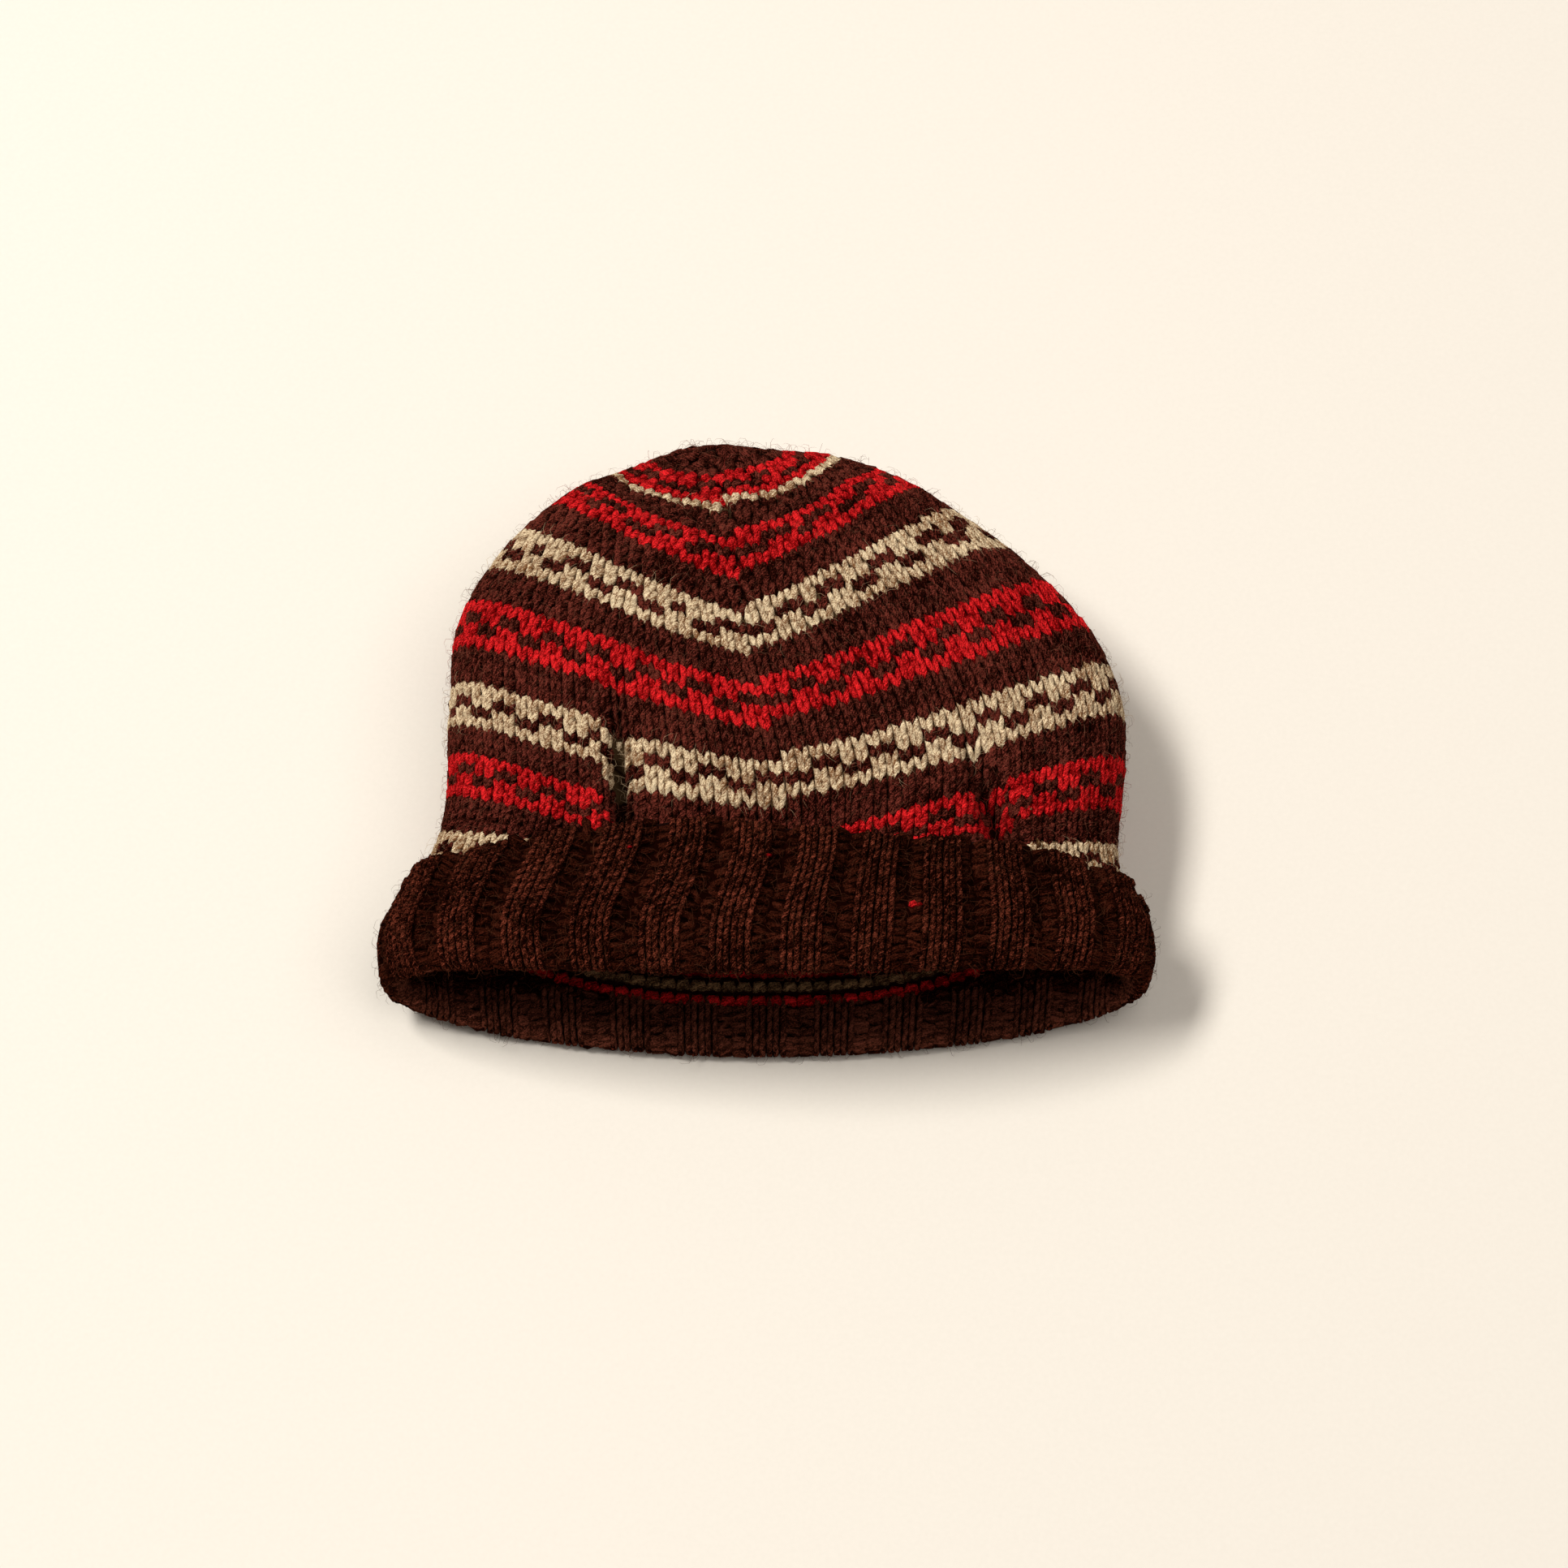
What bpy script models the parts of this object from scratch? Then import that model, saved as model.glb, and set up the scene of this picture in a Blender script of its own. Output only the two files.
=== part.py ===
# A knitted wool cap with a turned-up ribbed cuff, lying on its back with the mouth to the front.
# +X is the cap's right as seen from the mouth, +Y runs from the mouth to the crown, +Z is up.
import bmesh
import bpy
import numpy as np

CAP_WIDTH = 0.240
CAP_LENGTH = 0.192
CAP_HEIGHT = 0.068
CROWN_WALL = 0.0030
RIB_WALL = 0.0028
RIB_RELIEF = 0.0009
PLY_GAP = 0.0005
RIM_GAP = 0.0010
RIB_COUNT = 25
RIB_VALLEY = 0.17
COLUMNS_PER_RIB = 4
TOP_POWER = 2.3
BACK_POWER = 2.7
EMERGE_SHARE = 0.75

# The cap's outer surface, ring by ring from the cuff's fold to the crown's tip.
# x in half widths, y in lengths, z in heights; a z below 0 is pressed flat on the floor.
# bow is how late a ring's front swings back from its sides, and level is 1 where it lies in one plane.
# row, x_left, x_right, y_left, y_right, y_top, y_back, z_side, z_top, z_back, bow, level
RINGS = (
    (-4.0, -0.980, 0.980, 0.090, 0.092, 0.042, 0.016, 0.290, 0.865, -0.04, 1.80, 0.0),
    (0.0, -0.985, 0.990, 0.150, 0.145, 0.092, 0.090, 0.350, 0.915, -0.04, 1.80, 0.0),
    (5.0, -0.925, 0.958, 0.240, 0.212, 0.130, 0.185, 0.430, 0.955, -0.04, 1.70, 0.0),
    (10.0, -0.858, 0.925, 0.325, 0.288, 0.160, 0.275, 0.430, 0.985, -0.04, 1.50, 0.0),
    (15.0, -0.826, 0.924, 0.412, 0.382, 0.205, 0.365, 0.430, 1.000, -0.04, 1.35, 0.0),
    (22.0, -0.828, 0.925, 0.528, 0.547, 0.318, 0.490, 0.440, 0.985, -0.04, 1.25, 0.0),
    (29.0, -0.810, 0.815, 0.674, 0.696, 0.454, 0.620, 0.455, 0.985, -0.03, 1.25, 0.0),
    (36.0, -0.690, 0.596, 0.800, 0.835, 0.581, 0.750, 0.510, 0.985, -0.02, 1.30, 0.0),
    (43.0, -0.518, 0.362, 0.900, 0.924, 0.727, 0.885, 0.600, 0.945, 0.02, 1.45, 0.1),
    (50.5, -0.358, 0.129, 0.931, 0.959, 0.862, 1.000, 0.690, 0.850, 0.33, 1.80, 0.6),
    (54.5, -0.255, 0.005, 0.945, 0.955, 0.915, 0.985, 0.745, 0.815, 0.62, 1.90, 0.9),
    (58.0, -0.130, -0.130, 0.953, 0.953, 0.953, 0.953, 0.785, 0.785, 0.785, 2.0, 1.0),
)
# The cuff's free edge: share of the way round from the front towards -X, and the ring it lies on.
EDGE = (
    (0.00, 19.2),
    (0.06, 17.1),
    (0.12, 13.4),
    (0.18, 7.9),
    (0.24, 4.5),
    (0.32, 5.2),
    (0.50, 8.5),
    (0.68, 5.2),
    (0.76, 4.1),
    (0.82, 8.0),
    (0.88, 11.9),
    (0.94, 15.2),
    (1.00, 19.2),
)
# Pinched folds in the front of the crown: x in half widths, depth in heights, width in widths.
# x_low, x_high, row_low, row_full, row_high, depth, width
FOLDS = (
    (-0.350, -0.375, 5.0, 13.0, 31.0, 0.125, 0.023),
    (0.600, 0.545, 4.5, 11.5, 27.0, 0.118, 0.023),
)
TIP_ROW = 58.0
FOLD_ROW = -4.0
# Where rings are drawn: shares of the rows under the cuff, shares of the rows from there to
# FREE_ROW, and rows past it.
COVERED_STEPS = (0.0, 0.33, 0.67, 1.0)
FREE_STEPS = (0.25, 0.5, 0.75, 1.0)
FREE_ROW = 22.5
FREE_ROWS = (26.5, 31.0, 35.5, 40.0, 44.5, 48.5, 52.0, 55.0)
# Along the cuff's sheet: shares of its inner ply, of the turn of its fold, and of its short front.
INNER_STEPS = (0.0, 0.5)
TURN_STEPS = (0.0, 0.25, 0.5, 0.75, 1.0)
FRONT_STEPS = (0.5,)

HALF_WIDTH = CAP_WIDTH / 2
CUFF_BUILD = RIB_WALL + RIB_RELIEF + PLY_GAP
RING_POINTS = 720
COLUMNS = RIB_COUNT * COLUMNS_PER_RIB


def smooth(share):
    share = np.clip(share, 0, 1)
    return share * share * (3 - 2 * share)


def column_at(table, row):
    """Every column of a table, read between its rows along a smooth curve."""
    rows = table[:, 0]
    step = np.diff(rows)
    rise = np.diff(table, axis=0) / step[:, None]
    slopes = np.zeros_like(table)
    before, after = step[:-1, None], step[1:, None]
    slopes[1:-1] = (rise[:-1] * after + rise[1:] * before) / (before + after)
    slopes[0] = 1.5 * rise[0] - 0.5 * slopes[1]
    slopes[-1] = 1.5 * rise[-1] - 0.5 * slopes[-2]
    i = int(np.clip(np.searchsorted(rows, row, side="right") - 1, 0, len(step) - 1))
    t = (row - rows[i]) / step[i]
    ends = (2 * t**3 - 3 * t**2 + 1) * table[i] + (3 * t**2 - 2 * t**3) * table[i + 1]
    lean = (t**3 - 2 * t**2 + t) * slopes[i] + (t**3 - t**2) * slopes[i + 1]
    return ends + lean * step[i]


def pinch(x, row):
    """How far the folds pull the front of the crown in, at places x of one ring."""
    depth_here = np.zeros_like(x)
    for x_low, x_high, row_low, row_full, row_high, depth, width in FOLDS:
        grown = smooth((row - row_low) / (row_full - row_low))
        fading = smooth((row_high - row) / (row_high - row_full))
        along = (row - row_low) / (row_high - row_low)
        centre = (x_low + (x_high - x_low) * along) * HALF_WIDTH
        across = (x - centre) / (width * CAP_WIDTH)
        depth_here += depth * CAP_HEIGHT * grown * fading * np.exp(-(across**2))
    return depth_here


def ring(row, shares, pinched=False):
    """Points of one ring at shares of the way round, from the middle of the front towards -X."""
    read = column_at(np.array(RINGS), row)
    left, right = read[1:3] * HALF_WIDTH
    y_left, y_right, y_top, y_back = read[3:7] * CAP_LENGTH
    z_side, z_top, z_back = read[7:10] * CAP_HEIGHT
    angle = np.pi / 2 + 2 * np.pi * np.arange(RING_POINTS + 1) / RING_POINTS
    c, s = np.cos(angle), np.sin(angle)
    front = s >= 0
    power = np.where(front, TOP_POWER, BACK_POWER)
    reach = np.sign(c) * np.abs(c) ** (2 / power)
    lift = np.abs(s) ** (2 / power)
    x = (left + right) / 2 + (right - left) / 2 * reach
    y_side = np.where(reach < 0, y_left, y_right)
    bowed = 1 - np.abs(reach) ** np.where(front, read[10], 2.0)
    bowed += (lift - bowed) * read[11]
    y = y_side + (np.where(front, y_top, y_back) - y_side) * bowed
    z = z_side + (np.where(front, z_top, z_back) - z_side) * lift
    points = np.stack([x, y, np.maximum(z, 0)], 1)
    run = np.linalg.norm(np.diff(points, axis=0), axis=1).cumsum()
    run = np.concatenate([[0], run])
    want = run[-1] * np.asarray(shares)
    if pinched:
        points[:, 2] -= np.where(front, pinch(x, row) * lift, 0)
    return np.stack([np.interp(want, run, points[:, k]) for k in range(3)], 1)


def surface(row, share):
    """One point of the outer surface, its outward direction and its direction towards the mouth."""
    nudge = 0.25
    sides = ring(row, [share, (share + 0.002) % 1, (share - 0.002) % 1])
    up = ring(min(row + nudge, TIP_ROW), [share])[0]
    down = ring(row - nudge, [share])[0]
    mouthward = (down - up) / np.linalg.norm(down - up)
    outward = np.cross(sides[1] - sides[2], mouthward)
    outward /= np.linalg.norm(outward)
    return sides[0], outward, mouthward


def edge_row(share):
    """The ring on which the cuff's free edge lies, with the corners of its table rounded."""
    table = np.array(EDGE)
    nearby = (share + np.linspace(-0.05, 0.05, 9)) % 1
    return float(np.interp(nearby, table[:, 0], table[:, 1]).mean())


def rib_wave(share):
    """1 along the crown of a rib and -1 in the groove between two ribs."""
    phase = (share * RIB_COUNT + 0.5) % 1
    return 1 - 2 * np.exp(-(((phase - 0.5) / RIB_VALLEY) ** 2))


def crown_column(share):
    """The crown's outer face: one ply deep under the cuff, then rising to the outer surface."""
    edge = edge_row(share)
    rows = [edge * step for step in COVERED_STEPS]
    rows += [edge + (FREE_ROW - edge) * step for step in FREE_STEPS]
    points = []
    for row in rows + list(FREE_ROWS):
        risen = smooth((row - edge) / ((FREE_ROW - edge) * EMERGE_SHARE))
        _, outward, _ = surface(row, share)
        place = ring(row, [share], pinched=True)[0]
        points.append(place - outward * CUFF_BUILD * (1 - risen))
    return points


def cuff_column(share):
    """The middle of the ribbed sheet from its joint with the crown, round the fold, to its edge."""
    groove = RIB_RELIEF * (1 - rib_wave(share)) / 2
    middle = (RIB_WALL + CUFF_BUILD + RIB_RELIEF) / 2
    turn = (CUFF_BUILD + RIB_RELIEF) / 2 - groove
    points = []
    for step in INNER_STEPS:
        place, outward, mouthward = surface(FOLD_ROW * step, share)
        points.append(place - outward * (middle + turn) + mouthward * RIM_GAP * (step == 0))
    place, outward, mouthward = surface(FOLD_ROW, share)
    for step in TURN_STEPS:
        bend = np.pi * step
        depth = middle + turn * np.cos(bend)
        points.append(place - outward * depth + mouthward * turn * np.sin(bend))
    rows = [FOLD_ROW * (1 - step) for step in FRONT_STEPS]
    rows += [edge_row(share) * step for step in COVERED_STEPS]
    for row in rows:
        place, outward, _ = surface(row, share)
        points.append(place - outward * (RIB_WALL / 2 + groove))
    return points


def sheet_mesh(name, rings, tip=None):
    """A mesh of quads between closed rings of points, closed at its last ring by a tip if given."""
    count = len(rings[0])
    mesh = bpy.data.meshes.new(name)
    made = bmesh.new()
    verts = [[made.verts.new(p) for p in points] for points in rings]
    for low, high in zip(verts, verts[1:]):
        for k in range(count):
            n = (k + 1) % count
            made.faces.new((low[k], high[k], high[n], low[n]))
    if tip is not None:
        end = made.verts.new(tip)
        for k in range(count):
            made.faces.new((verts[-1][k], end, verts[-1][(k + 1) % count]))
    made.to_mesh(mesh)
    made.free()
    return mesh


def wool(name, colour, roughness):
    material = bpy.data.materials.new(name)
    material.use_nodes = True
    shader = material.node_tree.nodes["Principled BSDF"]
    shader.inputs["Base Color"].default_value = (*colour, 1)
    shader.inputs["Roughness"].default_value = roughness
    material.diffuse_color = (*colour, 1)
    return material


def sub_part(name, mesh, material, thickness, offset, home):
    part = bpy.data.objects.new(name, mesh)
    home.objects.link(part)
    mesh.materials.append(material)
    shell = part.modifiers.new("shell", "SOLIDIFY")
    shell.thickness = thickness
    shell.offset = offset
    shell.use_rim = True
    return part


def main():
    for old in list(bpy.data.objects):
        bpy.data.objects.remove(old, do_unlink=True)
    home = bpy.data.collections.new("knitted_wool_cap")
    bpy.context.scene.collection.children.link(home)
    shares = np.arange(COLUMNS) / COLUMNS

    crown_rings = list(zip(*[crown_column(share) for share in shares]))
    cuff_rings = list(zip(*[cuff_column(share) for share in shares]))
    tip = ring(TIP_ROW, [0.0])[0]

    crown_wool = wool("striped wool", (0.23, 0.10, 0.07), 0.9)
    cuff_wool = wool("ribbed wool", (0.16, 0.07, 0.045), 0.9)
    crown_mesh = sheet_mesh("crown", crown_rings, tip)
    cuff_mesh = sheet_mesh("cuff", cuff_rings)
    crown = sub_part("crown", crown_mesh, crown_wool, CROWN_WALL, -1, home)
    cuff = sub_part("cuff", cuff_mesh, cuff_wool, RIB_WALL, 0, home)

    # The frame's origin is the middle of the cap's underside.
    bpy.context.view_layer.update()
    graph = bpy.context.evaluated_depsgraph_get()
    corners = []
    for part in (crown, cuff):
        shape = part.evaluated_get(graph).to_mesh()
        corners.extend([tuple(v.co) for v in shape.vertices])
        part.evaluated_get(graph).to_mesh_clear()
    corners = np.array(corners)
    low, high = corners.min(0), corners.max(0)
    shift = np.array([(low[0] + high[0]) / 2, (low[1] + high[1]) / 2, low[2]])
    for part in (crown, cuff):
        for vert in part.data.vertices:
            vert.co = np.array(vert.co) - shift
    print("size mm", np.round((high - low) * 1000, 2), "shift mm", np.round(shift * 1000, 2))


main()
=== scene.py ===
# %% [markdown]
# # A knitted wool cap, made stitch by stitch
#
# The real cap is one piece of knitting: a striped crown that narrows to a tip, and a plain ribbed
# band that is turned up into a cuff. It lies on its back, so its mouth faces the front. The plain
# solids of the crown and the cuff come in from the CAD frame, and each is then replaced by yarn:
# thousands of small legs of wool that are laid on the same surface, row by row. A flat pattern on
# the solids would be quicker, but real strands also show at the outline and catch the light.

# %% The frame
import math

import bpy
import numpy as np
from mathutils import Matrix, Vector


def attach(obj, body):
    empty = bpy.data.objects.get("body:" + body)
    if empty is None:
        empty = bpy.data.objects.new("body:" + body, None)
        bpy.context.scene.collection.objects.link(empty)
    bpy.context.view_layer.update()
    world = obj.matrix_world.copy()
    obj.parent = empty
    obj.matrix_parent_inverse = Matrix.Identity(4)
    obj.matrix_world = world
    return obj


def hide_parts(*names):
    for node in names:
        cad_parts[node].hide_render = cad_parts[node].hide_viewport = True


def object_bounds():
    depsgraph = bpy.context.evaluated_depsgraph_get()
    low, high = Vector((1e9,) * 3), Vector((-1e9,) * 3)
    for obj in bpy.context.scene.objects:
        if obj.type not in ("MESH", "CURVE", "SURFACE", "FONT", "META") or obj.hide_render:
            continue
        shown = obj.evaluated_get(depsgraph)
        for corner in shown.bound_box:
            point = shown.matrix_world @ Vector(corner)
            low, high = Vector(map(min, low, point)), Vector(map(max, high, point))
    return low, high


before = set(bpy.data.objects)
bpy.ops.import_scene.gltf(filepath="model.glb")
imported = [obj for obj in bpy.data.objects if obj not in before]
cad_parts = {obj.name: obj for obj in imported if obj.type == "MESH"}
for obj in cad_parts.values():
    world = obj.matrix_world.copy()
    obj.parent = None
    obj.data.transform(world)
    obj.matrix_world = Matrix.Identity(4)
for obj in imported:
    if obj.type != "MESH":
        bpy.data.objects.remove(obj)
cad_box = [[float(v) for v in corner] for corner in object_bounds()]
cad_low, cad_high = np.array(cad_box)
CAP_WIDTH, CAP_LENGTH, CAP_HEIGHT = cad_high - cad_low
HALF_WIDTH = CAP_WIDTH / 2
print("cap in mm:", np.round((cad_high - cad_low) * 1000, 1))

# %% [markdown]
# ## The shape of the knitting
#
# A cap is a stack of rounds. Each row of the table below is one ring of the outer surface, from the
# fold of the cuff to the tip. Its columns say how far the ring reaches to each side, where it lies
# along the cap and how high it stands, as shares of the cap's width, length and height. The slumped
# shape could also be sculpted, or dropped on the floor by a cloth simulation, but then no stitch
# would know which row it is in. So a smooth curve through each column gives every ring between.

# %% Rings of the outer surface
# row, x_left, x_right, y_left, y_right, y_top, y_back, z_side, z_top, z_back, bow, level
RINGS = np.array([
    (-4.0, -0.980, 0.980, 0.090, 0.092, 0.042, 0.016, 0.290, 0.865, -0.04, 1.80, 0.0),
    (0.0, -0.985, 0.990, 0.150, 0.145, 0.092, 0.090, 0.350, 0.915, -0.04, 1.80, 0.0),
    (5.0, -0.925, 0.958, 0.240, 0.212, 0.130, 0.185, 0.430, 0.955, -0.04, 1.70, 0.0),
    (10.0, -0.858, 0.925, 0.325, 0.288, 0.160, 0.275, 0.430, 0.985, -0.04, 1.50, 0.0),
    (15.0, -0.826, 0.924, 0.412, 0.382, 0.205, 0.365, 0.430, 1.000, -0.04, 1.50, 0.0),
    (22.0, -0.828, 0.925, 0.528, 0.547, 0.325, 0.490, 0.440, 0.985, -0.04, 1.50, 0.0),
    (29.0, -0.810, 0.815, 0.674, 0.696, 0.458, 0.620, 0.455, 0.985, -0.03, 1.35, 0.0),
    (36.0, -0.690, 0.596, 0.800, 0.835, 0.581, 0.750, 0.510, 0.985, -0.02, 1.30, 0.0),
    (43.0, -0.518, 0.362, 0.900, 0.924, 0.727, 0.885, 0.600, 0.945, 0.02, 1.45, 0.1),
    (50.5, -0.358, 0.129, 0.931, 0.959, 0.862, 1.000, 0.690, 0.850, 0.33, 1.80, 0.6),
    (54.5, -0.255, 0.005, 0.945, 0.955, 0.915, 0.985, 0.745, 0.815, 0.62, 1.90, 0.9),
    (58.0, -0.130, -0.130, 0.953, 0.953, 0.953, 0.953, 0.785, 0.785, 0.785, 2.0, 1.0),
])
FOLD_ROW, TIP_ROW = float(RINGS[0, 0]), float(RINGS[-1, 0])
print("rings in the table:", len(RINGS), "from row", FOLD_ROW, "to row", TIP_ROW)


# %% A smooth curve through the table
def smooth(share):
    """Rises gently from 0 to 1 while the share does."""
    share = np.clip(share, 0, 1)
    return share * share * (3 - 2 * share)


def read_rings(row):
    """Every column of the table at one row, along a smooth curve through its rows."""
    rows, step = RINGS[:, 0], np.diff(RINGS[:, 0])
    rise = np.diff(RINGS, axis=0) / step[:, None]
    slopes = np.zeros_like(RINGS)
    before, after = step[:-1, None], step[1:, None]
    slopes[1:-1] = (rise[:-1] * after + rise[1:] * before) / (before + after)
    slopes[0] = 1.5 * rise[0] - 0.5 * slopes[1]
    slopes[-1] = 1.5 * rise[-1] - 0.5 * slopes[-2]
    i = int(np.clip(np.searchsorted(rows, row, side="right") - 1, 0, len(step) - 1))
    t = (row - rows[i]) / step[i]
    ends = (2 * t**3 - 3 * t**2 + 1) * RINGS[i] + (3 * t**2 - 2 * t**3) * RINGS[i + 1]
    lean = (t**3 - 2 * t**2 + t) * slopes[i] + (t**3 - t**2) * slopes[i + 1]
    return ends + lean * step[i]


print("row 20 reaches, in mm:", np.round(read_rings(20.0)[1:3] * HALF_WIDTH * 1000, 1))

# %% [markdown]
# Two pinched folds run up the front of the crown from the cuff. Each is a wide dip and a narrow
# furrow, and the cloth swells up beside the furrow. A formula lowers every ring there, so the fold
# stays one line through all the rounds. Dents pushed into a finished mesh would break that line.

# %% Pinched folds
# x_low, x_high, row_low, row_full, row_high, depth, width of the dip
FOLDS = (
    (-0.350, -0.375, 5.0, 13.0, 31.0, 0.125, 0.023),
    (0.635, 0.525, 4.5, 12.5, 25.0, 0.118, 0.023),
)
# x_low, x_high, depth, width of the furrow, height of the swelling beside it, and on which side
CREASES = (
    (-0.350, -0.375, 0.0125, 0.0020, 0.0026, -1),
    (0.695, 0.475, 0.0130, 0.0030, 0.0020, 1),
)
SWELLING_PLACE, SWELLING_WIDTH, CREASE_ENDS_SOONER = 0.0075, 0.0050, 2


def along_fold(row, row_low, row_full, row_high, sooner=0):
    """How far a fold has grown in and faded out at a row, and how far up the fold the row lies."""
    grown = smooth((row - row_low) / (row_full - row_low))
    fading = smooth((row_high - row) / (row_high - row_full - sooner))
    return grown, fading, (row - row_low) / (row_high - row_low)


def pinch(x, row):
    """How far the folds pull the front of one ring in, at places x across it."""
    depth_here = np.zeros_like(x)
    for x_low, x_high, row_low, row_full, row_high, depth, width in FOLDS:
        grown, fading, up = along_fold(row, row_low, row_full, row_high)
        across = (x - (x_low + (x_high - x_low) * up) * HALF_WIDTH) / (width * CAP_WIDTH)
        depth_here += depth * CAP_HEIGHT * grown * fading * np.exp(-(across**2))
    return depth_here


def crease(x, row):
    """The sharp part of each fold: a narrow furrow, with the cloth swelling up beside it."""
    depth_here = np.zeros_like(x)
    for fold, (x_low, x_high, depth, width, swelling, side) in zip(FOLDS, CREASES):
        grown, fading, up = along_fold(row, *fold[2:5], CREASE_ENDS_SOONER)
        from_fold = x - (x_low + (x_high - x_low) * up) * HALF_WIDTH
        furrow = depth * np.exp(-((from_fold / width) ** 2))
        from_swelling = (from_fold - side * SWELLING_PLACE) / SWELLING_WIDTH
        depth_here += grown * fading * (furrow - swelling * np.exp(-(from_swelling**2)))
    return depth_here


print("dips of the pinched folds in mm:", [round(fold[5] * CAP_HEIGHT * 1000, 1) for fold in FOLDS])

# %% [markdown]
# A ring is a superellipse: rounder than a box and squarer than an ellipse, as a slack cap is. Its
# back lies under the floor in the table and is held at the floor, which presses it flat. The table's
# column bow says how sharply the middle of the front runs ahead of the sides, and level how far the
# ring lies in one plane instead, as it does at the tip.

# %% One ring
TOP_POWER, BACK_POWER, BACK_BOW, RING_SAMPLES = 2.3, 2.7, 2.0, 1440


def ring(row, count):
    """Evenly spaced points of one ring, and how deep the folds pinch each of them."""
    read = read_rings(row)
    left, right = read[1:3] * HALF_WIDTH
    y_left, y_right, y_top, y_back = read[3:7] * CAP_LENGTH
    z_side, z_top, z_back = read[7:10] * CAP_HEIGHT
    angle = np.pi / 2 + 2 * np.pi * np.arange(RING_SAMPLES + 1) / RING_SAMPLES
    c, s = np.cos(angle), np.sin(angle)
    front = s >= 0
    power = np.where(front, TOP_POWER, BACK_POWER)
    reach, lift = np.sign(c) * np.abs(c) ** (2 / power), np.abs(s) ** (2 / power)
    x = (left + right) / 2 + (right - left) / 2 * reach
    y_side = np.where(reach < 0, y_left, y_right)
    bowed = 1 - np.abs(reach) ** np.where(front, read[10], BACK_BOW)
    bowed += (lift - bowed) * read[11]
    y = y_side + (np.where(front, y_top, y_back) - y_side) * bowed
    z = np.maximum(z_side + (np.where(front, z_top, z_back) - z_side) * lift, 0)
    depth = np.where(front, (pinch(x, row) + crease(x, row)) * lift, 0)
    points = np.stack([x, y, z, depth], 1)
    run = np.concatenate([[0], np.linalg.norm(np.diff(points[:, :3], axis=0), axis=1).cumsum()])
    want = run[-1] * np.arange(count) / count
    return np.stack([np.interp(want, run, points[:, k]) for k in range(4)], 1)


print("row 20 is pinched up to", round(ring(20.0, 400)[:, 3].max() * 1000, 1), "mm deep")

# %% The cuff's free edge
# share of the way round from the front towards -X, and the row on which the cuff's edge lies there
EDGE = np.array([
    (0.00, 19.2), (0.06, 17.4), (0.12, 13.2), (0.15, 9.9), (0.18, 7.2), (0.24, 4.8), (0.32, 5.2),
    (0.50, 8.5), (0.68, 5.2), (0.76, 4.6), (0.82, 8.5), (0.88, 12.2), (0.94, 15.2), (1.00, 19.2),
])
EDGE_BLUR = 0.05


def edge_row(turn):
    """The row on which the cuff's free edge lies, at shares of the way round."""
    nearby = (np.asarray(turn)[..., None] + np.linspace(-EDGE_BLUR, EDGE_BLUR, 9)) % 1
    return np.interp(nearby, EDGE[:, 0], EDGE[:, 1]).mean(-1)


print("row of the cuff's edge in front, at both sides and behind:",
      np.round(edge_row(np.array([0.0, 0.24, 0.76, 0.5])), 1))

# %% [markdown]
# ## Cloth as a map
#
# Each stitch has to know where it lies and which way is up on the fabric there. A grid of points
# over the whole surface answers both: a row and a turn (the share of the way round) go in, and a
# place and the outward direction come out. Two places close together give the direction of knitting.

# %% The cloth map
def unit(vectors):
    """The same directions, each 1 long."""
    return vectors / np.maximum(np.linalg.norm(vectors, axis=-1, keepdims=True), 1e-12)


class Cloth:
    """A surface of knitting, known on a grid of rows and turns, and read between its points."""

    def __init__(self, points, first_row, row_step):
        self.points, self.first_row, self.row_step = points, first_row, row_step
        across = np.roll(points, -1, 1) - np.roll(points, 1, 1)
        along = np.gradient(points, axis=0)
        self.out = unit(np.cross(along, across))

    def read(self, grid, row, turn):
        """What the grid holds at a row and a turn, mixed from the four points around them."""
        rows, columns = grid.shape[:2]
        r = np.clip((row - self.first_row) / self.row_step, 0, rows - 1.001)
        c = np.mod(turn, 1.0) * columns
        i, j = r.astype(int), c.astype(int) % columns
        a, b = (r - i)[..., None], (c - np.floor(c))[..., None]
        k = (j + 1) % columns
        low = grid[i, j] * (1 - b) + grid[i, k] * b
        high = grid[i + 1, j] * (1 - b) + grid[i + 1, k] * b
        return low * (1 - a) + high * a

    def place(self, row, turn, depth=0.0):
        """The place and the outward direction at a row and a turn, sunk by a depth."""
        row, turn = np.broadcast_arrays(np.asarray(row, float), np.asarray(turn, float))
        out = unit(self.read(self.out, row, turn))
        sunk = np.broadcast_to(np.asarray(depth, float), row.shape)[..., None]
        return self.read(self.points, row, turn) - out * sunk, out


# %% The outer surface
COLUMNS, ROW_STEP = 900, 0.25
ring_rows = np.arange(FOLD_ROW, TIP_ROW + 0.001, ROW_STEP)
rings = np.array([ring(row, COLUMNS) for row in ring_rows])
skin = Cloth(rings[..., :3], FOLD_ROW, ROW_STEP)
print("grid of the outer surface:", rings.shape[:2])

# %% [markdown]
# The crown lies one ply deep where the cuff covers it, and rises to the surface past the cuff's edge.
# Here it also takes its folds, and slow hills, since no slack cloth is quite even.

# %% The crown's map
# the crown's wall, and of the cuff its wall, the height of its ridges and the gap beneath it
CROWN_WALL, RIB_WALL, RIB_RELIEF, PLY_GAP = 0.0030, 0.0028, 0.0009, 0.0005
CUFF_BUILD = RIB_WALL + RIB_RELIEF + PLY_GAP
FREE_ROW, RISE_SHARE = 22.5, 0.75
HILL_HEIGHT, FIRST_HILL_ROW, LAST_HILL_ROW, HILLS_FADE = 0.00035, 18, 56, 8
# how many waves go round, how they slant from row to row, and where they start
HILLS = ((5, 0.16, 0), (9, -0.23, 2), (14, 0.35, 0))


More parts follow.
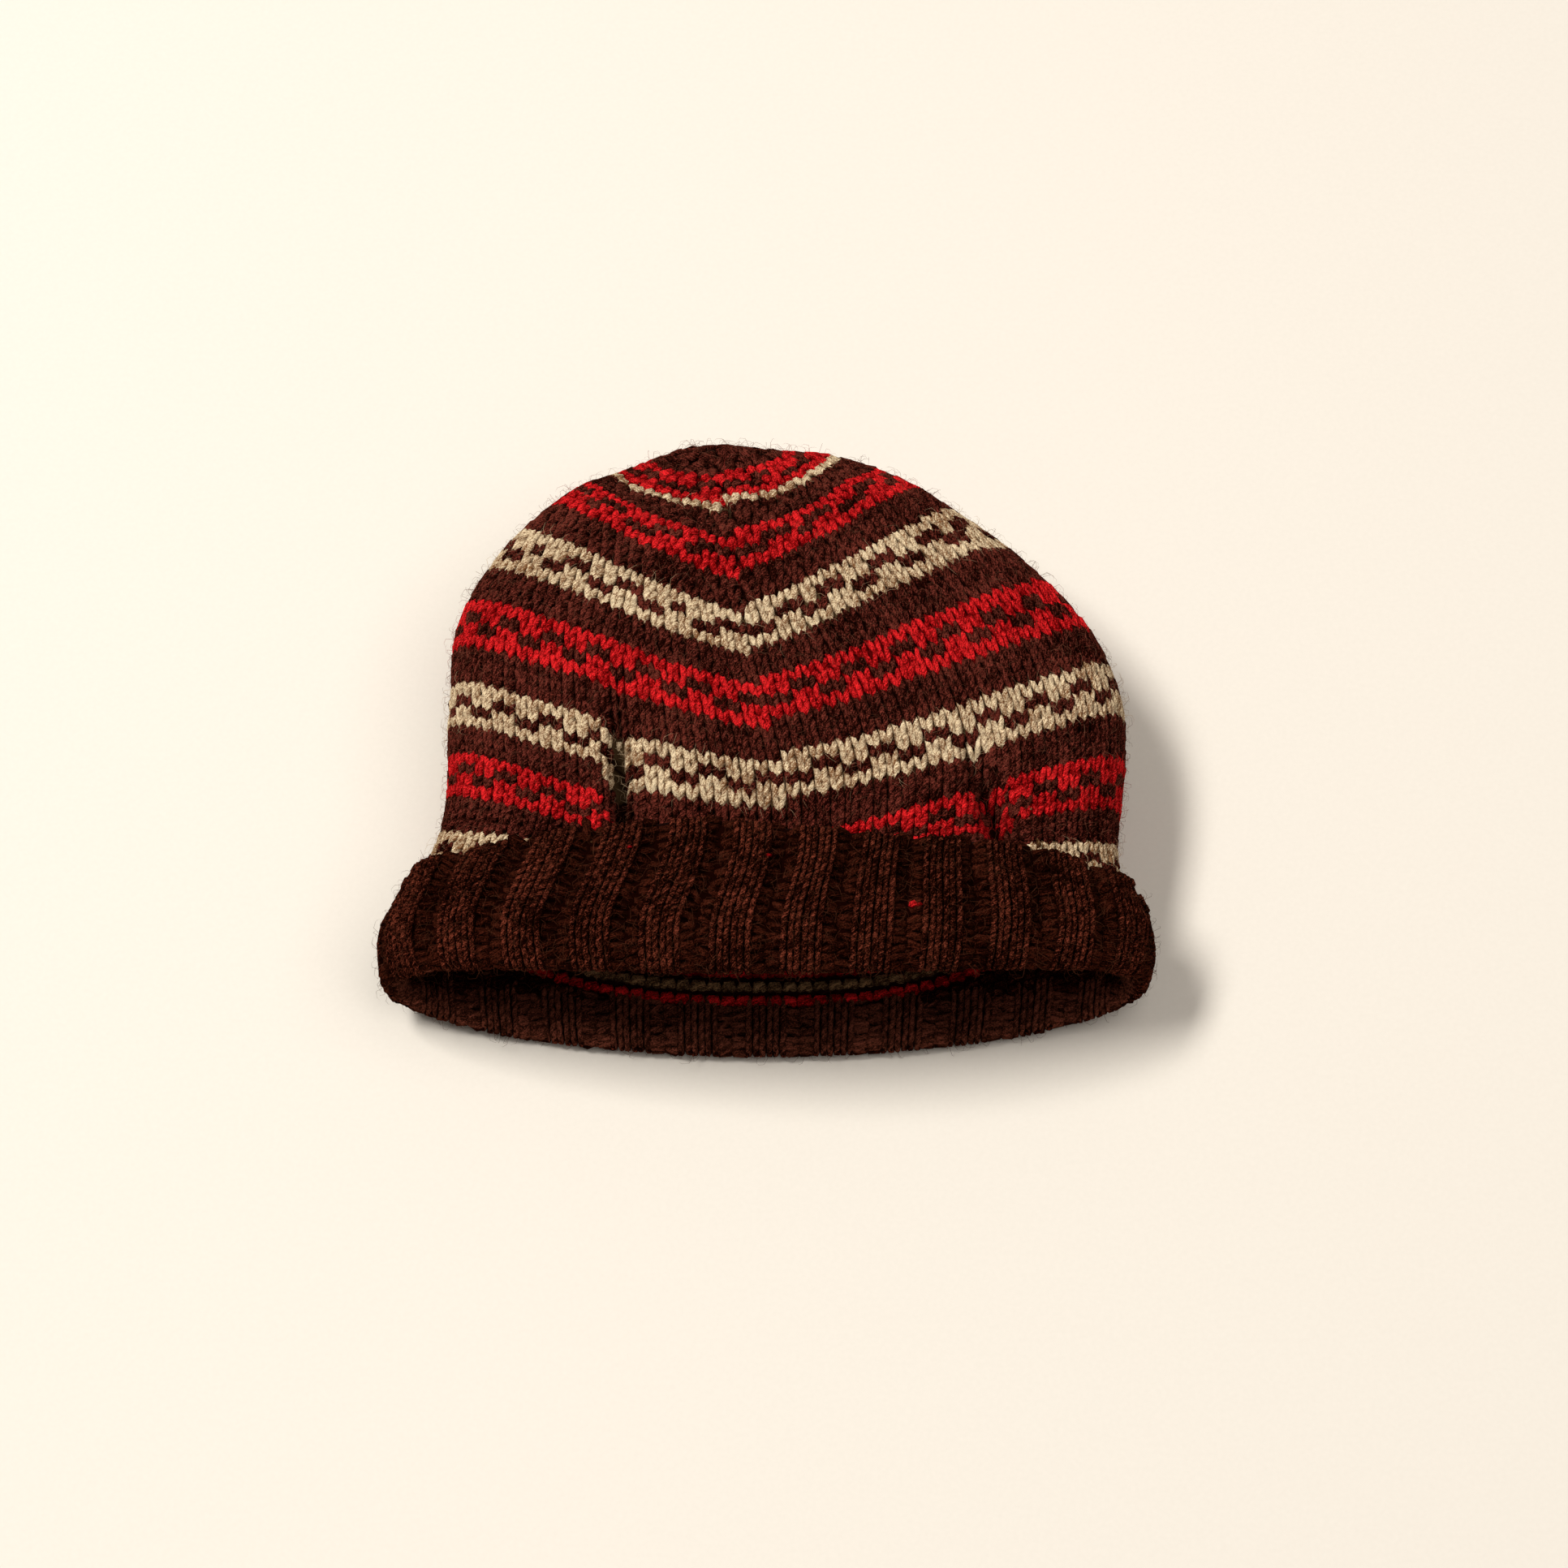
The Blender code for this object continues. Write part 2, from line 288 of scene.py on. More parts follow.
def waves(kinds, around, along):
    """A sum of slow sine waves over the cloth."""
    return sum(np.sin(count * around + slant * along + start) for count, slant, start in kinds)


turns = np.arange(COLUMNS) / COLUMNS
edge = edge_row(turns)
risen = smooth((ring_rows[:, None] - edge) / ((FREE_ROW - edge) * RISE_SHARE))
crown_points = rings[..., :3] - skin.out * (CUFF_BUILD * (1 - risen))[..., None]
crown_points[..., 2] -= rings[..., 3]
upward = ring_rows[:, None]
hills = waves(HILLS, 2 * np.pi * turns, upward)
grown_in = smooth((upward - FIRST_HILL_ROW) / HILLS_FADE)
faded_out = smooth((LAST_HILL_ROW - upward) / HILLS_FADE)
crown_points += skin.out * (HILL_HEIGHT * hills * grown_in * faded_out)[..., None]
crown = Cloth(crown_points, FOLD_ROW, ROW_STEP)
print("hills of the crown, in mm:", round(float(np.ptp(hills)) * HILL_HEIGHT * 1000, 1))

# %% [markdown]
# The cuff is one sheet with a rib to every five stitches: up the inside, round the fold at the
# mouth, and back over the crown. Its map is made along that path, with the grooves sunk in it. The
# ribs could be cut from a thick band, but along the path they also follow the fold.

# %% Ribs of the cuff
RIB_COUNT, KNIT_SHARE, GROOVE = 25, 0.60, 0.0029
SLOPE_STARTS_SOONER, BOTTOM_SHARE = 0.10, 0.02
SWAY, FULL_SWAY_AT = 0.00030, 0.2
SWAYS = ((7, 5, 0), (13, -7, 1), (23, 9, 2))


def groove_depth(turn):
    """0 on the knit columns of the rib and 1 in the middle of its purl columns."""
    phase = np.abs((turn * RIB_COUNT) % 1 - 0.5) * 2
    return smooth((phase - KNIT_SHARE + SLOPE_STARTS_SOONER) / (1.0 - KNIT_SHARE - BOTTOM_SHARE))


def swell(share, turn):
    """Slow hills and hollows of the cuff, so that no two ribs lie alike."""
    return SWAY * waves(SWAYS, 2 * np.pi * turn, share) * smooth(share / FULL_SWAY_AT)


print("ribs:", RIB_COUNT, "with grooves", GROOVE * 1000, "mm deep")

# %% The cuff's path
INNER_STEPS, FOLD_STEPS, OUTER_STEPS = 10, 16, 40
FOLD_GROOVE, FULL_GROOVE_AT = 0.15, 0.3


def cuff_path():
    """The cuff's visible face, from its joint with the crown, round the fold, to its free edge."""
    face = CUFF_BUILD + RIB_WALL + RIB_RELIEF
    full = groove_depth(turns) * GROOVE
    sunk = full * FOLD_GROOVE
    fold_place, fold_out = skin.place(np.full(COLUMNS, FOLD_ROW), turns)
    behind, _ = skin.place(np.full(COLUMNS, FOLD_ROW + 0.5), turns)
    mouthward = unit(fold_place - behind)
    path = []
    for share in np.linspace(0, 1, INNER_STEPS, endpoint=False):
        place, out = skin.place(np.full(COLUMNS, FOLD_ROW * share), turns)
        path.append(place - out * (face - sunk)[:, None])
    for bend in np.linspace(0, np.pi, FOLD_STEPS, endpoint=False):
        radius = face / 2 - sunk
        depth = face / 2 + radius * np.cos(bend)
        reach = radius * np.sin(bend)
        path.append(fold_place - fold_out * depth[:, None] + mouthward * reach[:, None])
    for share in np.linspace(0, 1, OUTER_STEPS):
        place, out = skin.place(FOLD_ROW + (edge - FOLD_ROW) * share, turns)
        groove = full * (FOLD_GROOVE + (1 - FOLD_GROOVE) * smooth(share / FULL_GROOVE_AT))
        path.append(place - out * (groove + swell(share, turns))[:, None])
    return np.array(path)


print("steps along the cuff's path:", INNER_STEPS + FOLD_STEPS + OUTER_STEPS)


# %% Even rows along the cuff's path
INNER_ROWS, OUTER_ROWS = 5, 16


def even_rows(path):
    """The path again, with rows of one height inside the fold, and of one height outside it."""
    per_row = int(1 / ROW_STEP)
    steps = np.linalg.norm(np.diff(path, axis=0), axis=2)
    run = np.concatenate([np.zeros((1, COLUMNS)), steps.cumsum(0)])
    fine = np.empty(((INNER_ROWS + OUTER_ROWS) * per_row + 1, COLUMNS, 3))
    for j in range(COLUMNS):
        middle = run[INNER_STEPS + FOLD_STEPS // 2, j]
        want = np.concatenate([
            np.linspace(0, middle, INNER_ROWS * per_row, endpoint=False),
            np.linspace(middle, run[-1, j], OUTER_ROWS * per_row + 1),
        ])
        for k in range(3):
            fine[:, j, k] = np.interp(want, run[:, j], path[:, j, k])
    return fine


cuff = Cloth(even_rows(cuff_path()), -INNER_ROWS, ROW_STEP)
print("grid of the cuff:", cuff.points.shape[:2])

# %% Into the CAD frame
above_the_fold = int(-FOLD_ROW / ROW_STEP)
raw = np.concatenate([crown_points[above_the_fold:].reshape(-1, 3), cuff.points.reshape(-1, 3)])
shift = np.array([*((raw.min(0) + raw.max(0)) / 2)[:2], 0.0])
shift -= np.array([*((cad_low + cad_high) / 2)[:2], cad_low[2]])
for cloth in (skin, crown, cuff):
    cloth.points = cloth.points - shift
print("shift to the frame in mm:", np.round(shift * 1000, 2))

# %% [markdown]
# ## Dye
#
# Shader maths is easier to read as Python than as boxes and wires, so a small class wraps one output
# socket and gives it plus, minus and times. Wool is matt and hairy. Each strand is twisted from
# two plies, which shows as slanting ridges along it. The strand carries its own small coordinates,
# so the twist follows it however it bends, and a fine noise on top stands for the fibres.

# %% Shader maths
class Wire:
    """One output of a shader node. Plus, minus and times add Math nodes, from either side."""

    def __init__(self, dye, socket):
        self.dye, self.socket = dye, socket

    def maths(self, operation, *values):
        return self.dye.add("ShaderNodeMath", {"operation": operation}, dict(enumerate(values)))

    def __add__(self, other):
        return self.maths("ADD", self, other)

    def __sub__(self, other):
        return self.maths("SUBTRACT", self, other)

    def __rsub__(self, other):
        return self.maths("SUBTRACT", other, self)

    def __mul__(self, other):
        return self.maths("MULTIPLY", self, other)

    __radd__, __rmul__ = __add__, __mul__


class Dye:
    """A material under construction: add() takes a node's type, its settings and its sockets."""

    def __init__(self, name):
        self.material = bpy.data.materials.new(name)
        self.material.use_nodes = True
        self.tree = self.material.node_tree
        self.surface = self.tree.nodes["Principled BSDF"]

    def connect(self, socket, value):
        if isinstance(value, Wire):
            self.tree.links.new(value.socket, socket)
        else:
            socket.default_value = value

    def add(self, kind, settings=None, sockets=None, out=0):
        node = self.tree.nodes.new(kind)
        for key, value in (settings or {}).items():
            setattr(node, key, value)
        for key, value in (sockets or {}).items():
            self.connect(node.inputs[key], value)
        return Wire(self, node.outputs[out])

    def finish(self, sockets):
        for key, value in sockets.items():
            self.connect(self.surface.inputs[key], value)
        return self.material


# %% Marks that every wool shares
def between(dye, share, low, high):
    """A colour between two others."""
    settings = {"data_type": "RGBA", "clamp_factor": True}
    return dye.add("ShaderNodeMix", settings, {0: share, 6: low, 7: high}, out=2)


def noise(dye, scale, detail=2.0, roughness=0.5, place=None):
    """Cloudy noise, over the whole piece or over coordinates of its own."""
    place = place or dye.add("ShaderNodeTexCoord", out="Object")
    return dye.add("ShaderNodeTexNoise", None,
                   {"Vector": place, "Scale": scale, "Detail": detail, "Roughness": roughness})


# %% [markdown]
# One recipe dyes every yarn. Its tone is a sum of marks: painted shade in the grooves between the plies,
# the fibres that run along them, flecks, slow patches, and a tone of its own for each strand. Painted
# shade makes the sides of a strand, which lie in the cloth, darker than its top. Each yarn then has two
# colours, deep and bright.

# %% Wool yarn
PLIES, TWIST, TURN_PER_STRAND = 2, 9.0, 3.0
FIBRE_ROUND, FIBRE_ALONG, FIBRE_PER_STRAND = 4.0, 2.5, 37.0
FLECK_SCALE, PATCH_SCALE = 2300.0, 55.0
# the ply mark is painted shade between the plies; the others are fibre, fleck and strand tone
PLY_SHADE_MARK, FIBRE_MARK, FLECK_MARK, STRAND_MARK = 0.14, 3.8, 3.0, 0.40
PLY_RIDGE, FIBRE_RIDGE, FLECK_RIDGE, RIDGE_HEIGHT = 0.5, 1.2, 0.5, 0.00045


def yarn(name, deep, bright, glow, lightness=0.0):
    """Twisted wool, with painted shade: bright on the ridges of its plies, and deep between them and low
    down.
    """
    dye = Dye(name)
    own = dye.add("ShaderNodeAttribute", {"attribute_name": "own"}, out="Vector")
    x, y, z = (dye.add("ShaderNodeSeparateXYZ", None, {0: own}, out=axis) for axis in "XYZ")
    shade = dye.add("ShaderNodeAttribute", {"attribute_name": "shade"}, out="Fac")
    around = z.maths("ARCTAN2", z, x) + y * (TWIST / PLIES) + shade * TURN_PER_STRAND
    ply = around.maths("COSINE", around * PLIES)
    side, other = around.maths("COSINE", around), around.maths("SINE", around)
    strands = dye.add("ShaderNodeCombineXYZ", None, {
        0: side * FIBRE_ROUND, 1: other * FIBRE_ROUND, 2: y * FIBRE_ALONG + shade * FIBRE_PER_STRAND})
    fibre = noise(dye, 1.0, 3.0, 0.6, strands)
    patch = noise(dye, PATCH_SCALE)
    fleck = noise(dye, FLECK_SCALE)
    # The ply term and the z term are painted shade: darker between the plies, and on the sides of each
    # strand than on its top.
    tone = (ply * PLY_SHADE_MARK + (fibre - 0.5) * FIBRE_MARK + (fleck - 0.5) * FLECK_MARK + z
            + (shade - 0.5) * STRAND_MARK + (patch - 0.5) + lightness)
    height = ply * PLY_RIDGE + fibre * FIBRE_RIDGE + fleck * FLECK_RIDGE
    bump = dye.add("ShaderNodeBump", None, {"Strength": 1.0, "Distance": RIDGE_HEIGHT, "Height": height})
    return dye.finish({
        "Base Color": between(dye, tone, (*deep, 1), (*bright, 1)),
        "Roughness": 1.0, "Sheen Weight": 0.05, "Sheen Roughness": 0.6,
        "Sheen Tint": (*glow, 1), "Specular IOR Level": 0.0, "Normal": bump,
    })


# %% [markdown]
# The cap has three yarns: brown, red and cream. The cuff's brown gets recipes of its own: a darker
# one for the cuff, a much darker one as painted shade in its grooves and in the mouth, and a lighter
# one as painted light on the lit lip inside. A darker cream is painted shade inside the mouth.

# %% The yarns
BROWN = yarn("brown_wool", (0.0050, 0.0003, 0.0001), (0.208, 0.042, 0.029), (0.5, 0.15, 0.08), -0.23)
RED = yarn("red_wool", (0.130, 0.0006, 0.0008), (0.98, 0.025, 0.030), (0.8, 0.05, 0.05))
CREAM = yarn("cream_wool", (0.22, 0.095, 0.036), (1.00, 0.83, 0.56), (0.8, 0.65, 0.45), 0.03)
CUFF_BROWN = yarn("cuff_brown_wool", (0.0040, 0.0003, 0.0001), (0.250, 0.055, 0.030),
                  (0.5, 0.15, 0.08), -0.38)
# painted shade: a much darker brown for the grooves of the cuff, the dark corners of the mouth and the
# brown inside it
PAINTED_SHADE_BROWN = yarn("brown_wool_painted_shade", (0.003, 0.0002, 0.0001), (0.085, 0.018, 0.009),
                  (0.4, 0.12, 0.06), -0.20)
# painted light: a lighter brown for the lit lip inside the mouth
PAINTED_LIGHT_BROWN = yarn("cuff_brown_wool_painted_light", (0.017, 0.0038, 0.0020), (0.205, 0.056, 0.034),
                    (0.5, 0.2, 0.1), -0.06)
# painted shade: a darker cream for the rows seen inside the mouth
PAINTED_SHADE_CREAM = yarn("cream_wool_painted_shade", (0.05, 0.020, 0.007), (0.47, 0.270, 0.130),
                    (0.5, 0.4, 0.3))
print("yarns:", [m.name for m in (BROWN, RED, CREAM, CUFF_BROWN, PAINTED_SHADE_BROWN, PAINTED_LIGHT_BROWN, PAINTED_SHADE_CREAM)])

# %% [markdown]
# ## One leg of a stitch
#
# A knit stitch shows as a V, and each half of the V is a short leg of yarn: fat in the middle, with
# both ends diving behind its neighbours. All the legs are copies of one small mesh, so it has only
# a few dozen faces. A purl stitch shows as a low arch across the column, which is made likewise.

# %% A strand of yarn
def tube(line, radii, sides):
    """Points and faces of a closed tube along a line, with a pointed cap at each end."""
    line = np.array(line, float)
    ahead = np.gradient(line, axis=0)
    verts, faces = [], []
    for place, heading, radius in zip(line[1:-1], ahead[1:-1], radii[1:-1]):
        heading = heading / np.linalg.norm(heading)
        side = np.cross(heading, (0, 0, 1.0))
        side /= np.linalg.norm(side)
        lift = np.cross(side, heading)
        for k in range(sides):
            angle = 2 * np.pi * k / sides
            verts.append(place + radius * (np.cos(angle) * side + np.sin(angle) * lift))
    last_ring = len(verts) - sides
    verts += [line[0], line[-1]]
    for level in range(0, last_ring, sides):
        for k in range(sides):
            a, b = level + k, level + (k + 1) % sides
            faces.append((a, b, b + sides, a + sides))
    for k in range(sides):
        n = (k + 1) % sides
        faces.append((n, k, len(verts) - 2))
        faces.append((last_ring + k, last_ring + n, len(verts) - 1))
    return verts, faces


def strand(name, line, radii, sides=6):
    """A tube that carries its own coordinates, so that a dye can follow it."""
    verts, faces = tube(line, radii, sides)
    mesh = bpy.data.meshes.new(name)
    mesh.from_pydata([tuple(v) for v in verts], [], faces)
    mesh.polygons.foreach_set("use_smooth", np.ones(len(mesh.polygons), bool))
    own = mesh.attributes.new("own", "FLOAT_VECTOR", "POINT")
    own.data.foreach_set("vector", np.array(verts, np.float32).ravel())
    piece = bpy.data.objects.new(name, mesh)
    print(name, "has", sum(len(f) - 2 for f in faces), "triangles")
    return piece


# %% The leg and the arch
# Unit sizes: 1 long in Y and 1 across, so that a stitch can stretch them to its own yarn.
leg_line = [(-0.10, -0.50, -0.70), (-0.06, -0.39, -0.28), (0.00, -0.14, 0.05),
            (0.03, 0.15, 0.07), (0.02, 0.38, -0.22), (0.00, 0.51, -0.65)]
leg = strand("leg", leg_line, [0, 0.36, 0.52, 0.54, 0.40, 0])
arch_line = [(-0.50, -0.55, -0.60), (-0.38, -0.22, -0.18), (-0.14, 0.16, 0.06),
             (0.14, 0.16, 0.06), (0.38, -0.22, -0.18), (0.50, -0.55, -0.60)]
arch = strand("arch", arch_line, [0, 0.40, 0.50, 0.50, 0.40, 0])

# %% [markdown]
# ## Laying yarn on the cloth
#
# Every leg is placed by three things that the cloth map gives: where its middle is, which way is
# out, and which way it runs. They are stored as attributes on a cloud of points, and a Geometry
# Nodes tree turns each point into a leg. The same tree serves every stitch of the cap. Copies made
# one by one in Python would do too, but a tree makes all of them in an instant.

# %% Helpers for node trees
def start_tree(name, inputs):
    """A tree with named inputs, and its two ends: what is given, and the node that it leaves by."""
    tree = bpy.data.node_groups.new(name, "GeometryNodeTree")
    tree.interface.new_socket("Geometry", in_out="INPUT", socket_type="NodeSocketGeometry")
    for label, kind in inputs:
        tree.interface.new_socket(label, in_out="INPUT", socket_type=kind)
    tree.interface.new_socket("Geometry", in_out="OUTPUT", socket_type="NodeSocketGeometry")
    return tree, tree.nodes.new("NodeGroupInput").outputs, tree.nodes.new("NodeGroupOutput")


def put(tree, kind, settings=None, sockets=None):
    """Adds a node: its settings first, then a link or a value for each socket named."""
    node = tree.nodes.new(kind)
    for key, value in (settings or {}).items():
        setattr(node, key, value)
    for key, value in (sockets or {}).items():
        if isinstance(value, bpy.types.NodeSocket):
            tree.links.new(value, node.inputs[key])
        else:
            node.inputs[key].default_value = value
    return node.outputs


def end_tree(tree, given, leave, geometry):
    """Every tree ends the same way: instances made real, and a material set."""
    real = put(tree, "GeometryNodeRealizeInstances", None, {"Geometry": geometry})
    dyed = put(tree, "GeometryNodeSetMaterial", None,
               {"Geometry": real["Geometry"], "Material": given["Material"]})
    tree.links.new(dyed["Geometry"], leave.inputs["Geometry"])
    return tree


def stored(tree, name):
    """A vector that each point of the cloud carries."""
    return put(tree, "GeometryNodeInputNamedAttribute", {"data_type": "FLOAT_VECTOR"},
               {"Name": name})["Attribute"]


# %% A tree that lays pieces of yarn on points
def yarn_tree():
    """Stands a strand on every point, turned and stretched as the point says."""
    inputs = [("Strand", "NodeSocketObject"), ("Plumpness", "NodeSocketFloat"),
              ("Material", "NodeSocketMaterial")]
    tree, given, leave = start_tree("lay_yarn", inputs)
    turned = put(tree, "FunctionNodeAxesToRotation", {"primary_axis": "Z", "secondary_axis": "Y"},
                 {"Primary Axis": stored(tree, "out"), "Secondary Axis": stored(tree, "along")})
    plump = put(tree, "ShaderNodeVectorMath", {"operation": "SCALE"},
                {0: stored(tree, "size"), "Scale": given["Plumpness"]})
    piece = put(tree, "GeometryNodeObjectInfo", None, {"Object": given["Strand"]})
    copies = put(tree, "GeometryNodeInstanceOnPoints", None, {
        "Points": given["Geometry"], "Instance": piece["Geometry"],
        "Rotation": turned["Rotation"], "Scale": plump["Vector"]})
    return end_tree(tree, given, leave, copies["Instances"])


def run_tree(carrier, tree, values, name):
    """Runs a tree on an object, and keeps the result as a plain mesh with no modifier."""
    bpy.context.scene.collection.objects.link(carrier)
    modifier = carrier.modifiers.new("nodes", "NODES")
    modifier.node_group = tree
    for item in tree.interface.items_tree:
        if item.in_out == "INPUT" and item.name in values:
            modifier[item.identifier] = values[item.name]
    graph = bpy.context.evaluated_depsgraph_get()
    mesh = bpy.data.meshes.new_from_object(carrier.evaluated_get(graph))
    carrier.modifiers.clear()
    bpy.data.objects.remove(carrier, do_unlink=True)
    mesh.name = name
    for extra in ("out", "along", "size"):
        if extra in mesh.attributes:
            mesh.attributes.remove(mesh.attributes[extra])
    piece = bpy.data.objects.new(name, mesh)
    bpy.context.scene.collection.objects.link(piece)
    return piece


LAY_YARN = yarn_tree()
print("tree", LAY_YARN.name, "has", len(LAY_YARN.nodes), "nodes")

# %% [markdown]
# The cap rests on its back, and wool gives way where it rests. Strands that would stick through the
# floor are pressed flat just above it, which a real cap's weight does. Then each piece is handed to
# the frame: it rides on the one body, and two of the pieces stand for the CAD solids.

# %% The end of every piece
SOFT_HEIGHT = 0.0005
triangles_made = []


def press_flat(piece):
    """Squeezes all that is lower than the soft height to between it and the floor."""
    places = np.empty(len(piece.data.vertices) * 3)
    piece.data.vertices.foreach_get("co", places)
    height = places[2::3]
    low = height < SOFT_HEIGHT
    height[low] = SOFT_HEIGHT * np.exp(height[low] / SOFT_HEIGHT - 1)
    piece.data.vertices.foreach_set("co", places)
    piece.data.update()


def finish_piece(piece, slot, *nodes):
    """The frame's part of every piece: it rides on the one body, and may stand for a CAD node."""
    press_flat(piece)
    triangles_made.append(sum(len(p.vertices) - 2 for p in piece.data.polygons))
    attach(piece, "root")
    if nodes:
        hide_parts(*nodes)
    lowest = min(v.co.z for v in piece.data.vertices) * 1000
    print(f"{piece.name}: {triangles_made[-1]} triangles, down to {lowest:.1f} mm")
    return piece


def lay(name, strand_piece, frames, material, slot, plumpness=1.0):
    """Lays one kind of yarn piece on points, given as place, out, along, size and shade."""
    place, out, along, size, shade = frames
    cloud = bpy.data.meshes.new(name + "_points")
    cloud.from_pydata([tuple(p) for p in place], [], [])
    for label, values in (("out", out), ("along", along), ("size", size)):
        layer = cloud.attributes.new(label, "FLOAT_VECTOR", "POINT")
        layer.data.foreach_set("vector", np.asarray(values, np.float32).ravel())
    layer = cloud.attributes.new("shade", "FLOAT", "POINT")
    layer.data.foreach_set("value", np.asarray(shade, np.float32))
    carrier = bpy.data.objects.new(name + "_points", cloud)
    values = {"Strand": strand_piece, "Plumpness": plumpness, "Material": material}
    return finish_piece(run_tree(carrier, LAY_YARN, values, name), slot)


# %% [markdown]
# ## The chart
#
# The crown is knitted from a chart, as such caps are: bands of four rows, cream and red in turn, with
# three plain brown rows between. Inside a band the colour breaks into pairs of stitches. From the
# thirtieth round on, each of eight wedges loses a stitch every second round, and the crown closes.
# A list of every stitch could be typed in, but the chart is how the knitter would say it too.

# %% The chart's colours
STITCHES, WEDGES, FIRST_DECREASE = 112, 8, 30
BAND = ("####", "##..", "..##", "####")
BANDS = {6: "cream", 13: "red", 20: "cream", 27: "red", 34: "cream", 41: "red", 49: "red"}
SINGLE_ROWS = {0: "red", 1: "cream", 2: "red", 48: "cream"}


def stitches_in_round(round_number):
    """How many stitches a round has, once its wedges have lost theirs."""
    lost = max(0, math.ceil((round_number - FIRST_DECREASE + 1) / 2))
    return WEDGES * max(1, STITCHES // WEDGES - lost)


def colour_of(round_number, turn):
    """brown, red or cream, read from the chart. A band keeps the stitch count of its first round."""
    if round_number in SINGLE_ROWS:
        return SINGLE_ROWS[round_number]
    for first, colour in BANDS.items():
        if first <= round_number < first + len(BAND):
            marks = BAND[round_number - first]
            stitch = int(turn * stitches_in_round(first))
            return colour if marks[stitch % len(marks)] == "#" else "brown"
    return "brown"


print("stitches in rounds 0, 30, 40 and 50:", [stitches_in_round(n) for n in (0, 30, 40, 50)])

# %% [markdown]
# Near the tip the stitches no longer stand in straight columns, because every decrease pushes its
# neighbours aside. A small drift that differs from round to round breaks the columns there.

# %% All stitches of the crown
ROUNDS = int(TIP_ROW) - 1
DRIFT_AFTER, DRIFT, DRIFT_STEP = 36, 0.6, 0.37


def all_stitches():
    """Round, turn of its column, share of the round and colour of each stitch of the crown."""
    found = []
    for round_number in range(ROUNDS):
        count = stitches_in_round(round_number)
        drifting = round_number > DRIFT_AFTER
        drift = DRIFT * ((DRIFT_STEP * round_number) % 1 - 0.5) if drifting else 0.0
        for stitch in range(count):
            turn = (stitch + 0.5 + drift) / count % 1
            found.append((round_number, turn, 1 / count, colour_of(round_number, turn)))
    return found


stitches = all_stitches()
print("stitches in the crown:", len(stitches))

# %% [markdown]
# A knit stitch is two legs that lean apart. Their feet come out of the stitch below, and their heads
# go behind the one above, so each leg is longer than a row is high. Yarn is never even: thickness,
# depth and heading of every leg are drawn by chance, with a fixed seed.

# %% Knit legs
YARN, THINNEST, THICKEST, FOOT = 0.00205, 0.45, 1.6, 0.12
WIDTH_CHANCE, DEPTH_CHANCE, SINK_CHANCE = (0.9, 1.12), (0.9, 1.1), 0.00012
FACING_CHANCE, HEADING_CHANCE = 0.07, 0.05
chance = np.random.default_rng(11)


def knit_legs(cloth, row, turn, width, grows=1.0, depth=0.0009, tall=1.34, lean=(0.09, 0.33),
              spread=0.47):
    """Frames for the two legs of each V. row is where its foot is, and grows is the way it opens."""
    row, turn, width = (np.asarray(v, float) for v in (row, turn, width))
    count = len(row)
    halves = []
    for side in (-1, 1):
        foot_turn = turn + side * lean[0] * width
        head_turn = turn + side * lean[1] * width
        foot, _ = cloth.place(row - FOOT * grows, foot_turn)
        head, _ = cloth.place(row + (tall - FOOT) * grows, head_turn)
        _, out = cloth.place(row + (tall / 2 - FOOT) * grows, (foot_turn + head_turn) / 2)
        along = head - foot
        length = np.linalg.norm(along, axis=1)
        near, _ = cloth.place(row, turn - width / 2)
        far, _ = cloth.place(row, turn + width / 2)
        room = np.linalg.norm(far - near, axis=1)
        wide = np.clip(room * spread, THINNEST * YARN, THICKEST * YARN)
        wide = wide * chance.uniform(*WIDTH_CHANCE, count)
        deep = YARN * chance.uniform(*DEPTH_CHANCE, count)
        sink = depth + chance.normal(0, SINK_CHANCE, count)
        halves.append((
            (foot + head) / 2 - out * sink[:, None],
            out + chance.normal(0, FACING_CHANCE, (count, 3)),
            along / length[:, None] + chance.normal(0, HEADING_CHANCE, (count, 3)),
            np.stack([wide, length, deep], 1),
            chance.random(count),
        ))
    return [np.concatenate(part) for part in zip(*halves)]


# %% [markdown]
# A slack cap slips as it lies. From the middle of the front to the left fold its rounds slide towards
# the mouth, by more than a row at the fold, and past it they are back in place, so the bands step
# there. They slide a little at both sides of the cuff as well.

# %% How far the rounds have slipped
FOLD_TURN, FOLD_SLIP, FOLD_SLIP_ENDS, FOLD_SLIP_FADES = 0.1145, 1.25, 27, 9
# turn of its middle, its width, the row where it ends, over how many rows it fades, and how far
SIDE_SLIPS = ((0.215, 0.035, 15, 6, 0.5), (0.790, 0.040, 18, 8, 0.4))


def slip(turn, row):
    """How many rows the cloth has slid towards the mouth: up to the left fold, and at both sides."""
    up_to_fold = (turn < FOLD_TURN) * smooth(turn / FOLD_TURN)
    slid = FOLD_SLIP * up_to_fold * smooth((FOLD_SLIP_ENDS - row) / FOLD_SLIP_FADES)
    for middle, width, last_row, fades, most in SIDE_SLIPS:
        near = np.exp(-(((turn - middle) / width) ** 2)) * smooth((last_row - row) / fades)
        slid = slid + most * near
    return slid


print("most slip on row 10:", round(float(slip(np.linspace(0, 1, 400), 10.0).max()), 2), "rows")

# %% [markdown]
# Knitting in the round is a spiral, so each round ends one row above where it began, and the step
# between the two shows as a small jog at the middle of the front. The stitches under the cuff are
# left out, because nobody sees them. The brown ones are laid in two pieces, to keep each one small.

# %% The striped crown
UNDER_THE_EDGE, FRONT_REACH = 0.75, 0.27
rounds, columns, widths = (np.array([s[k] for s in stitches], float) for k in range(3))
colours = np.array([s[3] for s in stitches])
